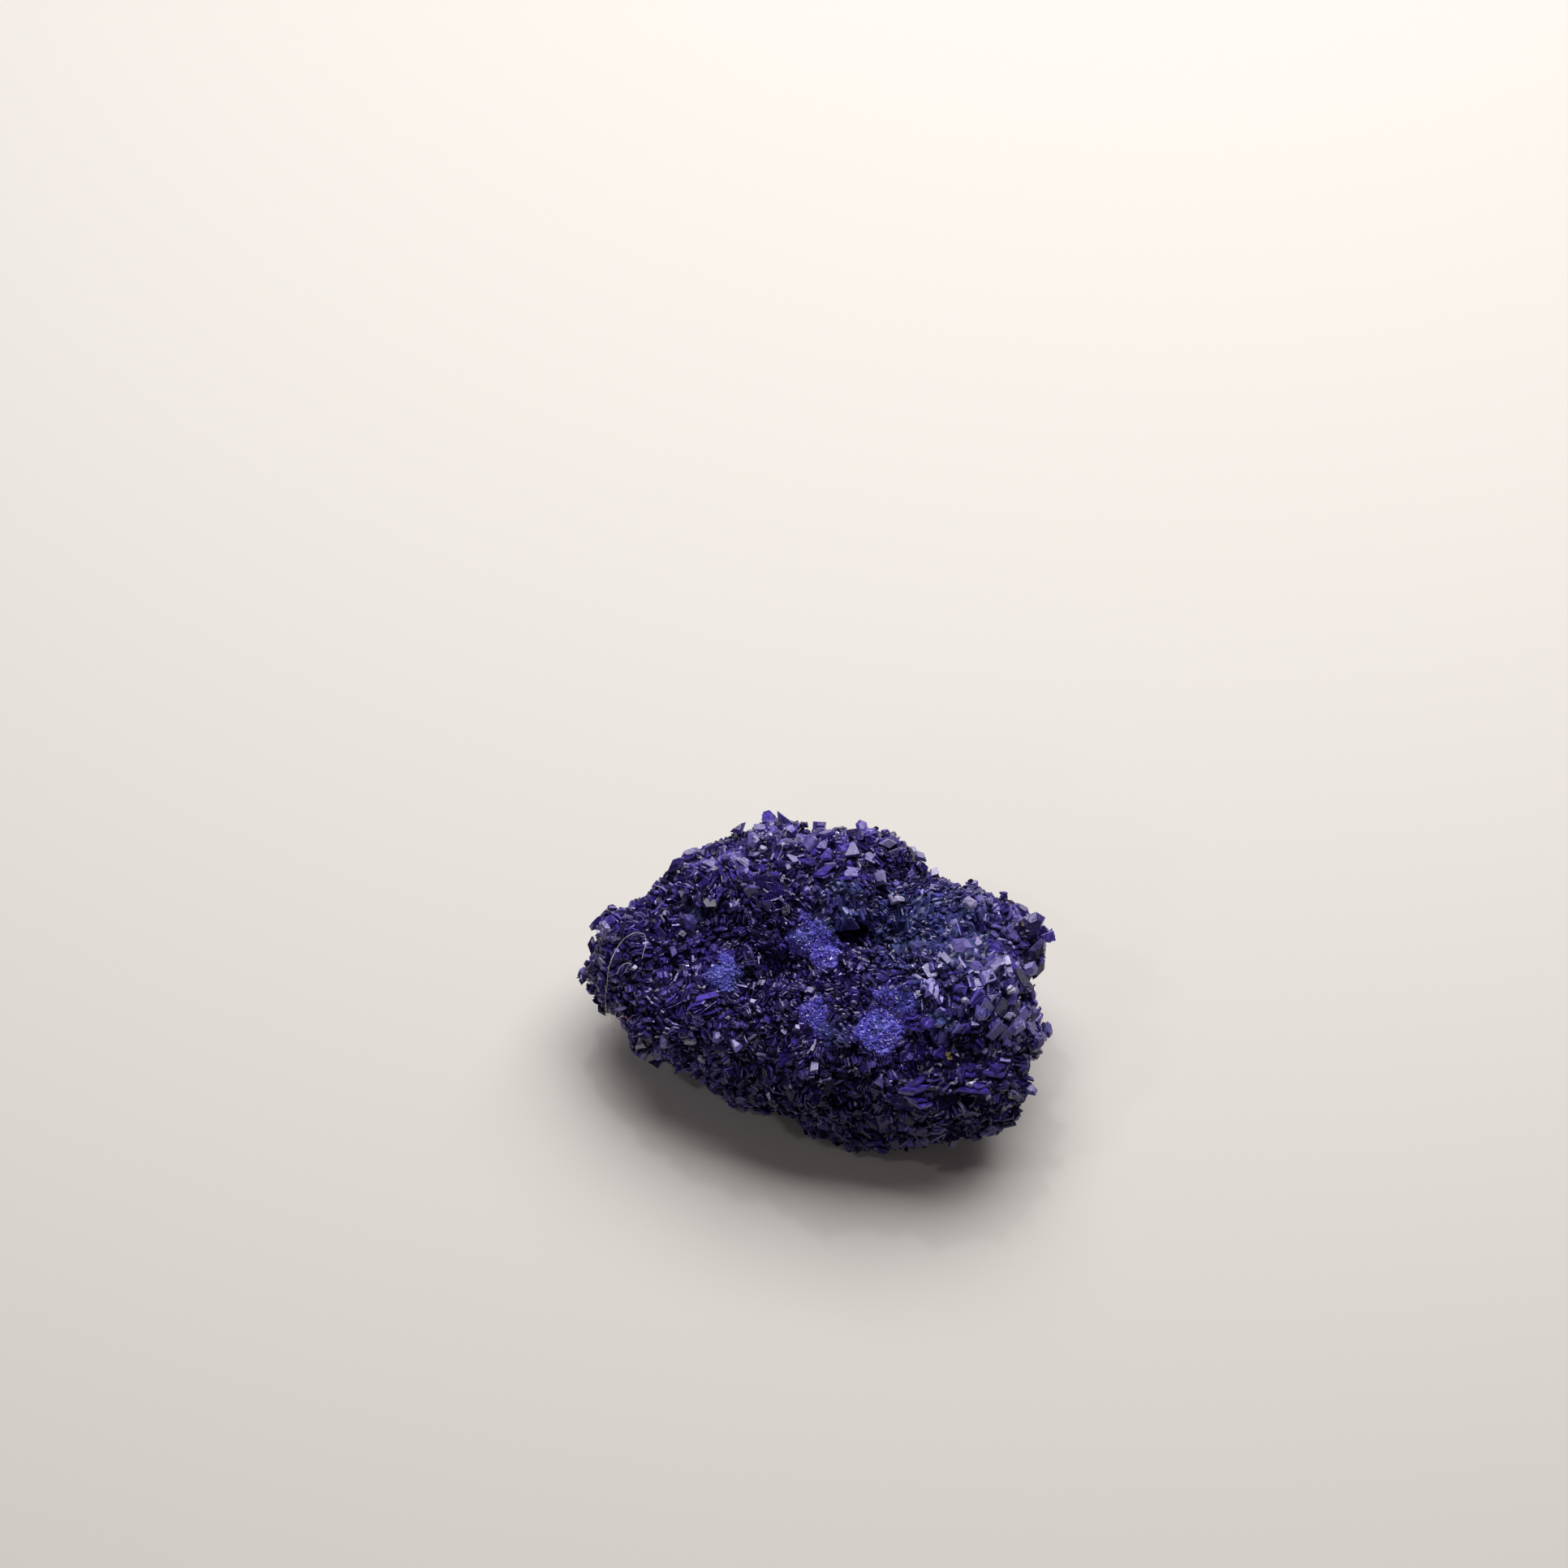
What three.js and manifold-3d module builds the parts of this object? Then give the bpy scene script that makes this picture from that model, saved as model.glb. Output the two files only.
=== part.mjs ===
// An azurite specimen 45 mm long: one mass of intergrown tabular crystals, dark blue all over.
// Its top is lumpy, with a deep hollow between the lumps, and it is broken off flat underneath.
// Millimetres, +Z up. The origin is under the middle of the specimen, on the surface it rests on.

import * as THREE from "three";
import { ConvexGeometry } from "three/addons/geometries/ConvexGeometry.js";
import { mergeVertices } from "three/addons/utils/BufferGeometryUtils.js";
import Module from "manifold-3d";

const wasm = await Module();
wasm.setup();

// The middle of the mass. Every ray that finds the surface starts here.
const middle = new THREE.Vector3(0, 0, 10);

// The swellings of the mass: the middle of each and its half sizes along X, Y and Z.
const lobes = {
  core: { at: [0.5, 0, 8.6], half: [16.8, 11.8, 7.6] },
  backRidge: { at: [-3.0, 7.6, 11.2], half: [10.4, 7.7, 7.9] },
  backKnob: { at: [-3.1, 13.2, 13.4], half: [2.7, 2.7, 3.0] },
  rosette: { at: [3.4, 6.2, 14.6], half: [3.3, 3.0, 3.9] },
  backRight: { at: [4.4, 8.9, 10.8], half: [6.4, 6.4, 6.9] },
  backLeft: { at: [-10.2, 6.4, 10.5], half: [6.2, 6.0, 6.4] },
  rightShoulder: { at: [13.0, 4.0, 9.7], half: [7.3, 6.0, 6.2] },
  rightTip: { at: [19.1, 4.2, 10.8], half: [2.6, 3.0, 3.0] },
  rightLump: { at: [12.9, -3.2, 10.5], half: [6.9, 6.6, 7.2] },
  rightFoot: { at: [18.5, -4.9, 8.8], half: [2.6, 2.7, 3.0] },
  frontRight: { at: [11.4, -8.8, 7.7], half: [8.0, 6.2, 6.4] },
  frontCorner: { at: [16.6, -9.2, 7.6], half: [3.2, 3.1, 3.0] },
  frontMiddle: { at: [2.6, -8.1, 8.6], half: [7.6, 5.7, 6.8] },
  frontLeft: { at: [-7.6, -2.0, 9.4], half: [8.6, 5.6, 6.3] },
  leftFront: { at: [-13.8, -0.9, 7.8], half: [5.2, 5.5, 5.6] },
  leftEnd: { at: [-16.6, 3.2, 8.9], half: [4.7, 5.6, 5.6] },
  foot: { at: [5.8, -9.3, 2.6], half: [7.8, 4.0, 4.5] },
  base: { at: [1.0, -1.0, 3.0], half: [14.0, 9.0, 6.0] },
};
const lobeBlend = 0.4; // how softly one lobe runs into the next

// Dents in the surface: a point near each, how deep it goes and its half width along X, Y and Z.
const dents = {
  westPit: { at: [-3.2, -1.2, 16], depth: 3.8, half: [2.6, 1.9, 2.2] },
  valley: { at: [7.4, 1.6, 16], depth: 3.0, half: [4.0, 1.9, 3.0] },
  leftFold: { at: [-9.5, 1.6, 16], depth: 1.6, half: [4.6, 1.5, 3.0] },
  frontPit: { at: [2.8, -11.4, 11], depth: 2.6, half: [1.6, 2.2, 1.6] },
  rightNotch: { at: [21.5, 0.0, 9], depth: 1.6, half: [2.5, 1.6, 2.5] },
  backNotch: { at: [-1.3, 14, 15.5], depth: 2.0, half: [0.9, 3.0, 3.0] },
  upperLedge: { at: [15.5, -12.0, 9.6], depth: 1.9, half: [5.0, 2.4, 0.8] },
  lowerLedge: { at: [14.0, -13.4, 6.6], depth: 1.9, half: [5.0, 2.4, 0.8] },
};

// The deep hollow runs back and down under the lump behind it. Its wall is uneven by its relief, as a
// share of its size.
const hollow = { at: [3.4, 3.8, 14.2], half: [2.4, 1.25, 5.6], leanDegrees: 40, relief: 0.14 };
const hollowDetail = 2;

// Broken spots, where the crystals are rubbed off a low knob and fine grains show.
const brokenSpots = {
  besideHollow: { at: [-0.4, -0.2, 17], radius: 2.3 },
  left: { at: [-8.2, -2.3, 16], radius: 1.5 },
  front: { at: [-0.1, -6.5, 15], radius: 1.7 },
  right: { at: [6.6, -7.6, 15], radius: 2.7 },
};
const brokenRise = 0.7;

// Knobs are small rosettes all over the mass, each a low mound with a grain of its own.
const knobSpacing = 4.6;
const knobHalfWidth = 2.3;
const knobRise = [-0.2, 1.6];
const grainLevel = new THREE.Vector3(0.31, 0.17, 0.93); // the grain of a knob turns from level with this
const grainJitter = 0.3; // how far a crystal turns off its knob's grain, in radians

// The crust: crystals on edge, side by side, each rising from its own patch of the mass.
const crustSpacing = 1.49;
const crustSink = 0.6; // how deep the grooves between crystals lie in the mass
const grooveRelief = 0.3; // how much a groove rises or falls along its way
const crustHeight = [0.4, 1.7];
const brokenHeight = [0.1, 0.35];
const longestCrystal = 3.0;
const topLength = [0.6, 0.95]; // the top of a crystal against its foot, along its face
const topWidth = [0.25, 0.7]; // the same, through its thickness
const topTilt = 0.5; // how steeply a top may slope along its face
const topLean = 0.4; // how far a crystal may lean, as a share of its height
const easeSteps = [1, 0.85, 0.7, 0.55, 0.4, 0.25]; // shares of that size and lean, tried in turn
const rootDepth = 0.8;
const bareUnderside = -0.7; // the surface is broken and bare where its normal points lower than this

const siteDetail = 40; // how many places there are to choose a crystal's corners from
const stretch = new THREE.Vector3(1.6, 1.37, 1); // keeps the crystals even over the long mass
const sameCorner = 1e-4; // corners nearer to each other than this are one
const planeSlack = 1e-6;

// What is cut away under the resting plane.
const underWidth = 80;
const underDepth = 20;

function randomFrom(seed) {
  let state = seed;
  return () => {
    state = (state + 0x6d2b79f5) | 0;
    let mixed = Math.imul(state ^ (state >>> 15), state | 1);
    mixed ^= mixed + Math.imul(mixed ^ (mixed >>> 7), mixed | 61);
    return ((mixed ^ (mixed >>> 14)) >>> 0) / 4294967296;
  };
}
const random = randomFrom(7);
const between = ([low, high]) => low + (high - low) * random();
const eitherWay = (size) => size * (random() * 2 - 1);
const sumOf = (vectors) => vectors.reduce((sum, vector) => sum.add(vector), new THREE.Vector3());

// How far along a ray from the middle it leaves a lobe. Past the lobe's edge the value falls away.
function lobeExit(lobe, direction) {
  const half = new THREE.Vector3(...lobe.half);
  const start = middle.clone().sub(new THREE.Vector3(...lobe.at)).divide(half);
  const step = direction.clone().divide(half);
  const a = step.lengthSq();
  const b = start.dot(step);
  const inside = b * b - a * (start.lengthSq() - 1);
  return (-b + Math.sign(inside) * Math.sqrt(Math.abs(inside))) / a;
}

// The smooth outside of all the lobes, before any knob or dent.
function lobesPoint(direction) {
  const exits = Object.values(lobes).map((lobe) => lobeExit(lobe, direction));
  const furthest = Math.max(...exits);
  const sum = exits.reduce((total, exit) => total + Math.exp((exit - furthest) / lobeBlend), 0);
  const distance = furthest + lobeBlend * Math.log(sum);
  return direction.clone().multiplyScalar(distance).add(middle);
}

// A feature given by a point near the surface, moved on to the surface.
function onLobes(at) {
  return lobesPoint(new THREE.Vector3(...at).sub(middle).normalize());
}

function bare(geometry) {
  const copy = geometry.clone();
  copy.deleteAttribute("normal");
  copy.deleteAttribute("uv");
  return mergeVertices(copy, sameCorner);
}

// The direction from the middle for a point of the unit ball.
const directionOf = (unit) => unit.clone().multiply(stretch).normalize();

// The points of an even ball of triangles moved out to a surface, in random order.
function shuffledPoints(pointOf) {
  const ball = bare(new THREE.IcosahedronGeometry(1, siteDetail));
  const units = ball.getAttribute("position").clone();
  const position = ball.getAttribute("position");
  for (let i = 0; i < position.count; i++) {
    const unit = new THREE.Vector3().fromBufferAttribute(units, i);
    position.setXYZ(i, ...pointOf(directionOf(unit)).toArray());
  }
  ball.computeVertexNormals();
  const normal = ball.getAttribute("normal");
  const order = Array.from({ length: position.count }, (_, i) => ({ i, key: random() }));
  order.sort((p, q) => p.key - q.key);
  return order.map(({ i }) => ({
    unit: new THREE.Vector3().fromBufferAttribute(units, i),
    point: new THREE.Vector3().fromBufferAttribute(position, i),
    normal: new THREE.Vector3().fromBufferAttribute(normal, i),
  }));
}

// The points of a list that keep a distance from each other.
function spaced(candidates, spacing) {
  const kept = [];
  for (const candidate of candidates) {
    if (kept.every((site) => site.point.distanceTo(candidate.point) > spacing)) kept.push(candidate);
  }
  return kept;
}

// 1 at a feature's place, falling to nothing over its half widths.
function mound(place, point, half) {
  return Math.exp(-point.clone().sub(place).divide(half).lengthSq());
}

// Each feature with its point moved on to the surface.
const placed = (features) =>
  Object.values(features).map((feature) => ({
    ...feature,
    point: onLobes(feature.at),
    half: new THREE.Vector3(...(feature.half ?? Array(3).fill(feature.radius))),
  }));

const dentPlaces = placed(dents);
const brokenPlaces = placed(brokenSpots);
const knobHalf = new THREE.Vector3().setScalar(knobHalfWidth);
const knobs = spaced(shuffledPoints(lobesPoint), knobSpacing).map(({ point }) => ({
  point,
  rise: between(knobRise),
  grain: random() * Math.PI,
}));

// The outside of the mass, with its knobs, broken spots and dents.
function massPoint(direction) {
  const point = lobesPoint(direction);
  let rise = 0;
  for (const knob of knobs) rise += knob.rise * mound(knob.point, point, knobHalf);
  for (const spot of brokenPlaces) rise += brokenRise * mound(spot.point, point, spot.half);
  for (const dent of dentPlaces) rise -= dent.depth * mound(dent.point, point, dent.half);
  return point.addScaledVector(direction, rise);
}

// The directions through and along the faces of the crystals near a point.
function grainAt(point, normal) {
  const nearest = knobs.reduce((best, knob) =>
    knob.point.distanceTo(point) < best.point.distanceTo(point) ? knob : best,
  );
  const level = grainLevel.clone().cross(normal).normalize();
  const across = level.applyAxisAngle(normal, nearest.grain + eitherWay(grainJitter));
  return { across, along: across.clone().cross(normal) };
}

function solidOf(geometry) {
  const merged = bare(geometry);
  return new wasm.Manifold(
    new wasm.Mesh({
      numProp: 3,
      vertProperties: new Float32Array(merged.getAttribute("position").array),
      triVerts: new Uint32Array(merged.index.array),
    }),
  );
}

// The planes between a patch and its neighbours, each through one side of the patch and outward.
function sidePlanes(patch) {
  return patch.map((corner, k) => {
    const next = patch[(k + 1) % patch.length];
    const outward = corner.outward.clone().add(next.outward);
    return { through: corner.point, inner: outward.cross(next.point.clone().sub(corner.point)) };
  });
}

const isInside = ({ through, inner }, point) => point.clone().sub(through).dot(inner) > -planeSlack;
const isBetween = (planes, points) =>
  planes.every((plane) => points.every((point) => isInside(plane, point)));
const isConvex = (patch) => isBetween(sidePlanes(patch), patch.map((corner) => corner.point));
const inBrokenSpot = (point) => brokenPlaces.some((spot) => spot.point.distanceTo(point) < spot.radius);

// The patches of the crust: triangles between the sites, joined in pairs along the grain.
function crustPatches(sites) {
  const hull = bare(new ConvexGeometry(sites.map((site) => site.unit)));
  const position = hull.getAttribute("position");
  for (let i = 0; i < position.count; i++) {
    const unit = new THREE.Vector3().fromBufferAttribute(position, i);
    position.setXYZ(i, ...massPoint(directionOf(unit)).toArray());
  }
  hull.computeVertexNormals();
  const normal = hull.getAttribute("normal");
  const corners = Array.from({ length: position.count }, (_, i) => {
    const outward = new THREE.Vector3().fromBufferAttribute(normal, i);
    const point = new THREE.Vector3().fromBufferAttribute(position, i);
    return { i, outward, point: point.addScaledVector(outward, eitherWay(grooveRelief) - crustSink) };
  });
  const triangles = Array.from({ length: hull.index.count / 3 }, (_, t) =>
    Array.from({ length: 3 }, (_, k) => corners[hull.index.getX(3 * t + k)]),
  );
  const edgeOwner = new Map();
  triangles.forEach((triangle, t) =>
    triangle.forEach((corner, k) => edgeOwner.set(`${corner.i},${triangle[(k + 1) % 3].i}`, { t, k })),
  );
  const taken = new Set();
  const patches = [];
  triangles.forEach((triangle, t) => {
    if (taken.has(t)) return;
    taken.add(t);
    const { along } = grainAt(triangle[0].point, triangle[0].outward);
    const choices = triangle.map((corner, k) => {
      const other = edgeOwner.get(`${triangle[(k + 1) % 3].i},${corner.i}`);
      const far = triangles[other.t][(other.k + 2) % 3];
      const length = far.point.clone().sub(triangle[(k + 2) % 3].point);
      return { t: other.t, patch: triangle.toSpliced(k + 1, 0, far), length };
    });
    const [best] = choices
      .filter((choice) => !taken.has(choice.t) && choice.length.length() < longestCrystal)
      .filter((choice) => isConvex(choice.patch))
      .sort((p, q) => Math.abs(q.length.dot(along)) - Math.abs(p.length.dot(along)));
    if (best) taken.add(best.t);
    patches.push(best ? best.patch : triangle);
  });
  return { triangles, patches };
}

// The crystal on a patch, with a root down in the mass. Its top is eased back until it stands clear
// of its neighbours.
function crystalOn(patch) {
  const centre = sumOf(patch.map((corner) => corner.point)).divideScalar(patch.length);
  const normal = sumOf(patch.map((corner) => corner.outward)).normalize();
  const { across, along } = grainAt(centre, normal);
  const bareHere = inBrokenSpot(centre) || normal.z < bareUnderside;
  const height = between(bareHere ? brokenHeight : crustHeight);
  const length = between(topLength);
  const width = between(topWidth);
  const tilt = bareHere ? 0 : eitherWay(topTilt);
  const lean = sumOf([across, along].map((side) => side.clone().multiplyScalar(eitherWay(topLean))));
  const planes = sidePlanes(patch);
  let top = [];
  for (const ease of easeSteps) {
    const up = normal.clone().addScaledVector(lean, ease);
    top = patch.map(({ point }) => {
      const offset = point.clone().sub(centre);
      const reach = offset.dot(along) * length * ease;
      return centre
        .clone()
        .addScaledVector(along, reach)
        .addScaledVector(across, offset.dot(across) * width * ease)
        .addScaledVector(up, height * ease + tilt * reach);
    });
    if (isBetween(planes, top)) break;
  }
  const root = centre.clone().addScaledVector(normal, -rootDepth);
  return new ConvexGeometry([...patch.map((corner) => corner.point), ...top, root]);
}

const { triangles, patches } = crustPatches(spaced(shuffledPoints(massPoint), crustSpacing));
const massPoints = triangles.flat().map((corner) => corner.point);
const mass = solidOf(new THREE.BufferGeometry().setFromPoints(massPoints));
const crystals = patches.map((patch) => solidOf(crystalOn(patch)));
let solid = wasm.Manifold.union([mass, ...crystals]);

// The hollow is a long ball with an uneven wall, leaning back.
const hollowGeometry = bare(new THREE.IcosahedronGeometry(1, hollowDetail));
const hollowPosition = hollowGeometry.getAttribute("position");
for (let i = 0; i < hollowPosition.count; i++) {
  const point = new THREE.Vector3().fromBufferAttribute(hollowPosition, i);
  hollowPosition.setXYZ(i, ...point.multiplyScalar(1 + eitherWay(hollow.relief)).toArray());
}
hollowGeometry
  .scale(...hollow.half)
  .rotateX(THREE.MathUtils.degToRad(hollow.leanDegrees))
  .translate(...hollow.at);
solid = solid.subtract(solidOf(hollowGeometry));

// Everything under the resting plane is broken away.
const under = new THREE.BoxGeometry(underWidth, underWidth, underDepth);
solid = solid.subtract(solidOf(under.translate(0, 0, -underDepth / 2)));

// Small voids shut in between crystals are left out: the outer skin is the largest body.
const bodies = solid.decompose().sort((p, q) => q.volume() - p.volume());
const { numProp, vertProperties, triVerts } = bodies[0].getMesh();
const skin = new THREE.BufferGeometry();
skin.setAttribute("position", new THREE.BufferAttribute(vertProperties, numProp));
skin.setIndex(new THREE.BufferAttribute(triVerts, 1));

const azurite = new THREE.MeshStandardMaterial({ color: 0x1e1a5a, roughness: 0.35, metalness: 0 });
const cluster = new THREE.Mesh(skin, azurite);
cluster.name = "azurite_cluster";
skin.computeBoundingBox();
const bounds = skin.boundingBox;
cluster.position.set(-(bounds.min.x + bounds.max.x) / 2, -(bounds.min.y + bounds.max.y) / 2, 0);

const specimen = new THREE.Group();
specimen.add(cluster);

export default specimen;
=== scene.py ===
import math

import bmesh
import bpy
import numpy as np
from mathutils import Matrix, Vector, noise
from mathutils.bvhtree import BVHTree
from mathutils.kdtree import KDTree


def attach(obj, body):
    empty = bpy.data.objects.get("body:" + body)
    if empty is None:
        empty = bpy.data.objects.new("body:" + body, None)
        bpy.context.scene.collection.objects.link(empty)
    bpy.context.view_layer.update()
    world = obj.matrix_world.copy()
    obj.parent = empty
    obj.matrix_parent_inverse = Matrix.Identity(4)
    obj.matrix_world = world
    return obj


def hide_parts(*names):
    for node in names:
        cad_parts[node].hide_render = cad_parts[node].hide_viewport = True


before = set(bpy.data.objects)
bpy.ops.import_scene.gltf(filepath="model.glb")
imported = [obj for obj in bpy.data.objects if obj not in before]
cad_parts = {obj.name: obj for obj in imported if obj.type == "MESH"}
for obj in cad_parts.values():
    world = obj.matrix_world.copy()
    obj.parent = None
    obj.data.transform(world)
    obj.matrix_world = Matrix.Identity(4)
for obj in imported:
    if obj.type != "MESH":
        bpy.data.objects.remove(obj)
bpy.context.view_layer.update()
mm = 0.001
seed = 11
dice = np.random.default_rng(seed)
noise.seed_set(seed)  # otherwise its vectors follow the clock


# Camera. The photo looks down on the specimen, and a place in the photo is a pixel of its square frame.
photoView = {
    "elevation": 58,                  # degrees above level
    "lens": 100,
    "sensor": 36,
    "imageSide": 1932,
    "pixelsPerMm": 12.95,
    "target": (0.1345, -0.9283, 10),  # mm, a place inside the specimen
    "targetPixel": (1006, 1212),      # where it shows in the photo
}
tilt = math.radians(photoView["elevation"])
towardCamera = Vector((0, -math.cos(tilt), math.sin(tilt)))
cameraRight = Vector((1, 0, 0))
cameraUp = towardCamera.cross(cameraRight)
focalPixels = photoView["imageSide"] * photoView["lens"] / photoView["sensor"]
middlePixel = np.array(photoView["targetPixel"])
pixelsPerMm = photoView["pixelsPerMm"]
imageMiddle = photoView["imageSide"] / 2


def makeCamera():
    pixel = mm / pixelsPerMm
    targetX, targetY = photoView["targetPixel"]
    aim = Vector(photoView["target"]) * mm
    aim += cameraRight * (imageMiddle - targetX) * pixel + cameraUp * (targetY - imageMiddle) * pixel
    camera = bpy.data.objects.new("camera", bpy.data.cameras.new("camera"))
    camera.data.lens = photoView["lens"]
    camera.data.sensor_width = photoView["sensor"]
    camera.data.clip_start = 0.01
    camera.data.clip_end = 10
    turned = Matrix((cameraRight, cameraUp, towardCamera)).transposed().to_4x4()
    camera.matrix_world = Matrix.Translation(aim + towardCamera * focalPixels * pixel) @ turned
    bpy.context.scene.collection.objects.link(camera)
    bpy.context.scene.camera = camera
    return camera


camera = makeCamera()
eye = camera.matrix_world.translation.copy()


def pixelRay(pixel):
    x, y = pixel
    right = cameraRight * (x - imageMiddle)
    up = cameraUp * (imageMiddle - y)
    return (right + up - towardCamera * focalPixels).normalized()


# The mass: the specimen's lumps with their sharp corners eased. Every crystal stands on it.
massShape = {
    "mergeWithin": 1e-7,  # m
    "voxel": 0.36,        # mm
    "easing": 3,          # smoothing steps
    "easingStep": 0.5,
    "broadVoxel": 1.2,    # mm, for the broad form that the crystals point away from
    "broadEasing": 14,
    "near": 5,            # how many places of the broad form tell the way out
}


def remeshed(name, voxel, easing):
    merged = bmesh.new()
    merged.from_mesh(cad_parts["azurite_cluster"].data)
    bmesh.ops.remove_doubles(merged, verts=merged.verts, dist=massShape["mergeWithin"])
    mesh = bpy.data.meshes.new(name)
    merged.to_mesh(mesh)
    merged.free()
    thing = bpy.data.objects.new(name, mesh)
    bpy.context.scene.collection.objects.link(thing)
    remesh = thing.modifiers.new("remesh", "REMESH")
    remesh.mode = "VOXEL"
    remesh.voxel_size = voxel * mm
    smooth = thing.modifiers.new("ease", "SMOOTH")
    smooth.factor = massShape["easingStep"]
    smooth.iterations = easing
    graph = bpy.context.evaluated_depsgraph_get()
    made = bpy.data.meshes.new_from_object(thing.evaluated_get(graph))
    bpy.data.objects.remove(thing)
    return made


def numbersOf(mesh):
    points = np.empty(len(mesh.vertices) * 3)
    mesh.vertices.foreach_get("co", points)
    mesh.calc_loop_triangles()
    corners = np.empty(len(mesh.loop_triangles) * 3, dtype=np.int32)
    mesh.loop_triangles.foreach_get("vertices", corners)
    return points.reshape(-1, 3), corners.reshape(-1, 3)


def smoothNormals(mesh):
    normals = np.empty(len(mesh.vertices) * 3)
    mesh.vertices.foreach_get("normal", normals)
    return normals.reshape(-1, 3)


def unit(vectors):
    return vectors / np.maximum(np.linalg.norm(vectors, axis=-1, keepdims=True), 1e-12)


def kdTreeOf(points):
    tree = KDTree(len(points))
    for index, point in enumerate(points):
        tree.insert(point, index)
    tree.balance()
    return tree


massMesh = remeshed("mass", massShape["voxel"], massShape["easing"])
massPoints, massCorners = numbersOf(massMesh)
massTree = BVHTree.FromPolygons(massPoints.tolist(), massCorners.tolist())
broadMesh = remeshed("broad", massShape["broadVoxel"], massShape["broadEasing"])
broadPoints, broadCorners = numbersOf(broadMesh)
broadNormals = smoothNormals(broadMesh)
broadTree = kdTreeOf(broadPoints)
print("mass", len(massCorners), "triangles, broad form", len(broadCorners))


def outwardAt(points):
    # The way out of the broad form at each point, from the few nearest places on it.
    out = np.empty((len(points), 3))
    for index, point in enumerate(points):
        near = broadTree.find_n(point, massShape["near"])
        out[index] = np.mean([broadNormals[found[1]] for found in near], axis=0)
    return unit(out)


sight = {
    "steps": (-2, 9, 0.1),  # mm before and past the outline's depth, to look along a sight line
    "nearer": 0.5,          # mm nearer the eye, so that crystals on the outline aren't hidden by others
    "inward": 0.01,         # share of the way to the middle at each try, from a pixel past the outline
    "inwardFine": 0.003,
}


def shownAt(trees, pixel, inward):
    # The nearest place that shows at a pixel. From a pixel past the outline it moves inward.
    pixel = np.array(pixel, dtype=float)
    shown = []
    while not shown:
        hits = [tree.ray_cast(eye, pixelRay(pixel)) for tree in trees]
        shown = [hit for hit in hits if hit[0] is not None]
        pixel += (middlePixel - pixel) * inward
    return min(shown, key=lambda hit: hit[3])[0]


def onMass(pixel):
    return shownAt([massTree], pixel, sight["inward"])


def atPixel(pixel):
    # The place right at a pixel: on the mass, or past its outline where the sight line comes nearest to it.
    ray = pixelRay(pixel)
    place = massTree.ray_cast(eye, ray)[0]
    if place is not None:
        return place
    depth = (onMass(pixel) - eye).length
    passed = [eye + ray * (depth + step * mm) for step in np.arange(*sight["steps"])]
    return min(passed, key=lambda point: massTree.find_nearest(point)[3]) - ray * sight["nearer"] * mm


# Spots that stand apart, by what they do: the pixel in the photo, the radius (mm) and how much.
# Broken and cyan change the colour, and dark darkens it as painted shade; sink lets the mass in (mm).
spots = {
    "broken": {
        # beside the hollow
        (1014, 1166): (1.6, 1.0), (1018, 1184): (1.0, 1.0), (983, 1160): (1.2, 1.0),
        (998, 1149): (1.3, 1.0), (988, 1134): (0.8, 0.8),
        # on the left
        (898, 1205): (1.3, 1.0), (880, 1200): (1.0, 0.9), (894, 1180): (0.8, 0.9),
        # at the front
        (1003, 1246): (1.3, 1.0), (1013, 1260): (1.1, 0.9),
        # on the right
        (1086, 1270): (2.1, 1.0), (1093, 1238): (1.5, 1.0), (1114, 1236): (1.2, 0.9),
    },
    "cyan": {
        # in the broken spots
        (898, 1205): (1.3, 0.7), (880, 1200): (1.0, 0.6), (989, 1154): (0.6, 0.9),
        (1084, 1262): (0.7, 0.7),
        # behind the hollow and along the right shoulder
        (1041, 1118): (2.6, 0.6), (1190, 1155): (2.8, 0.85), (1112, 1132): (3.0, 0.8),
        (1146, 1147): (2.0, 0.8), (1165, 1130): (4.5, 0.5), (1225, 1200): (4.5, 0.35),
        (1125, 1185): (4.0, 0.3),
        # low on the right, at the front, on the left and at the far right
        (1157, 1264): (1.4, 1.0), (1026, 1272): (1.2, 0.8), (855, 1132): (0.7, 1.0),
        (1268, 1343): (1.4, 0.9),
    },
    "dark": {
        # painted shade in and behind the hollow, and in the folds beside it
        (1054, 1158): (1.2, 1.0), (1050, 1170): (1.5, 0.5), (1041, 1118): (2.6, 0.4),
        (1086, 1098): (0.8, 0.7), (957, 1193): (1.4, 0.9), (925, 1215): (1.5, 0.7),
        (828, 1190): (1.2, 0.7), (1100, 1165): (1.8, 0.6),
        # painted shade at the front, between the ledges, at the left end and along the foot
        (1045, 1318): (2.2, 0.7), (1004, 1345): (1.8, 0.9), (1195, 1307): (1.4, 0.7),
        (1140, 1324): (1.3, 0.7), (1178, 1353): (1.2, 0.6), (733, 1182): (2.2, 0.6),
        (945, 1300): (3.2, 0.4),
    },
    "sink": {
        # in the hollow and in the folds beside it
        (1054, 1158): (1.2, 1.5), (1050, 1170): (1.5, 0.7), (1086, 1098): (0.8, 0.9),
        (957, 1193): (1.4, 1.0), (925, 1215): (1.5, 0.8), (828, 1190): (1.2, 0.8),
        (1100, 1165): (1.8, 0.4),
        # at the front and between the ledges
        (1045, 1318): (2.2, 0.8), (1195, 1307): (1.4, 0.9), (1140, 1324): (1.3, 0.9),
        (1178, 1353): (1.2, 0.8),
    },
}
spotEdge = {"size": 0.9, "waver": 0.45, "end": 1.35, "fade": 0.5}  # mm twice, then shares of the radius
spotPlaces = {pixel: np.array(onMass(pixel)) for kind in spots.values() for pixel in kind}


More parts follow.
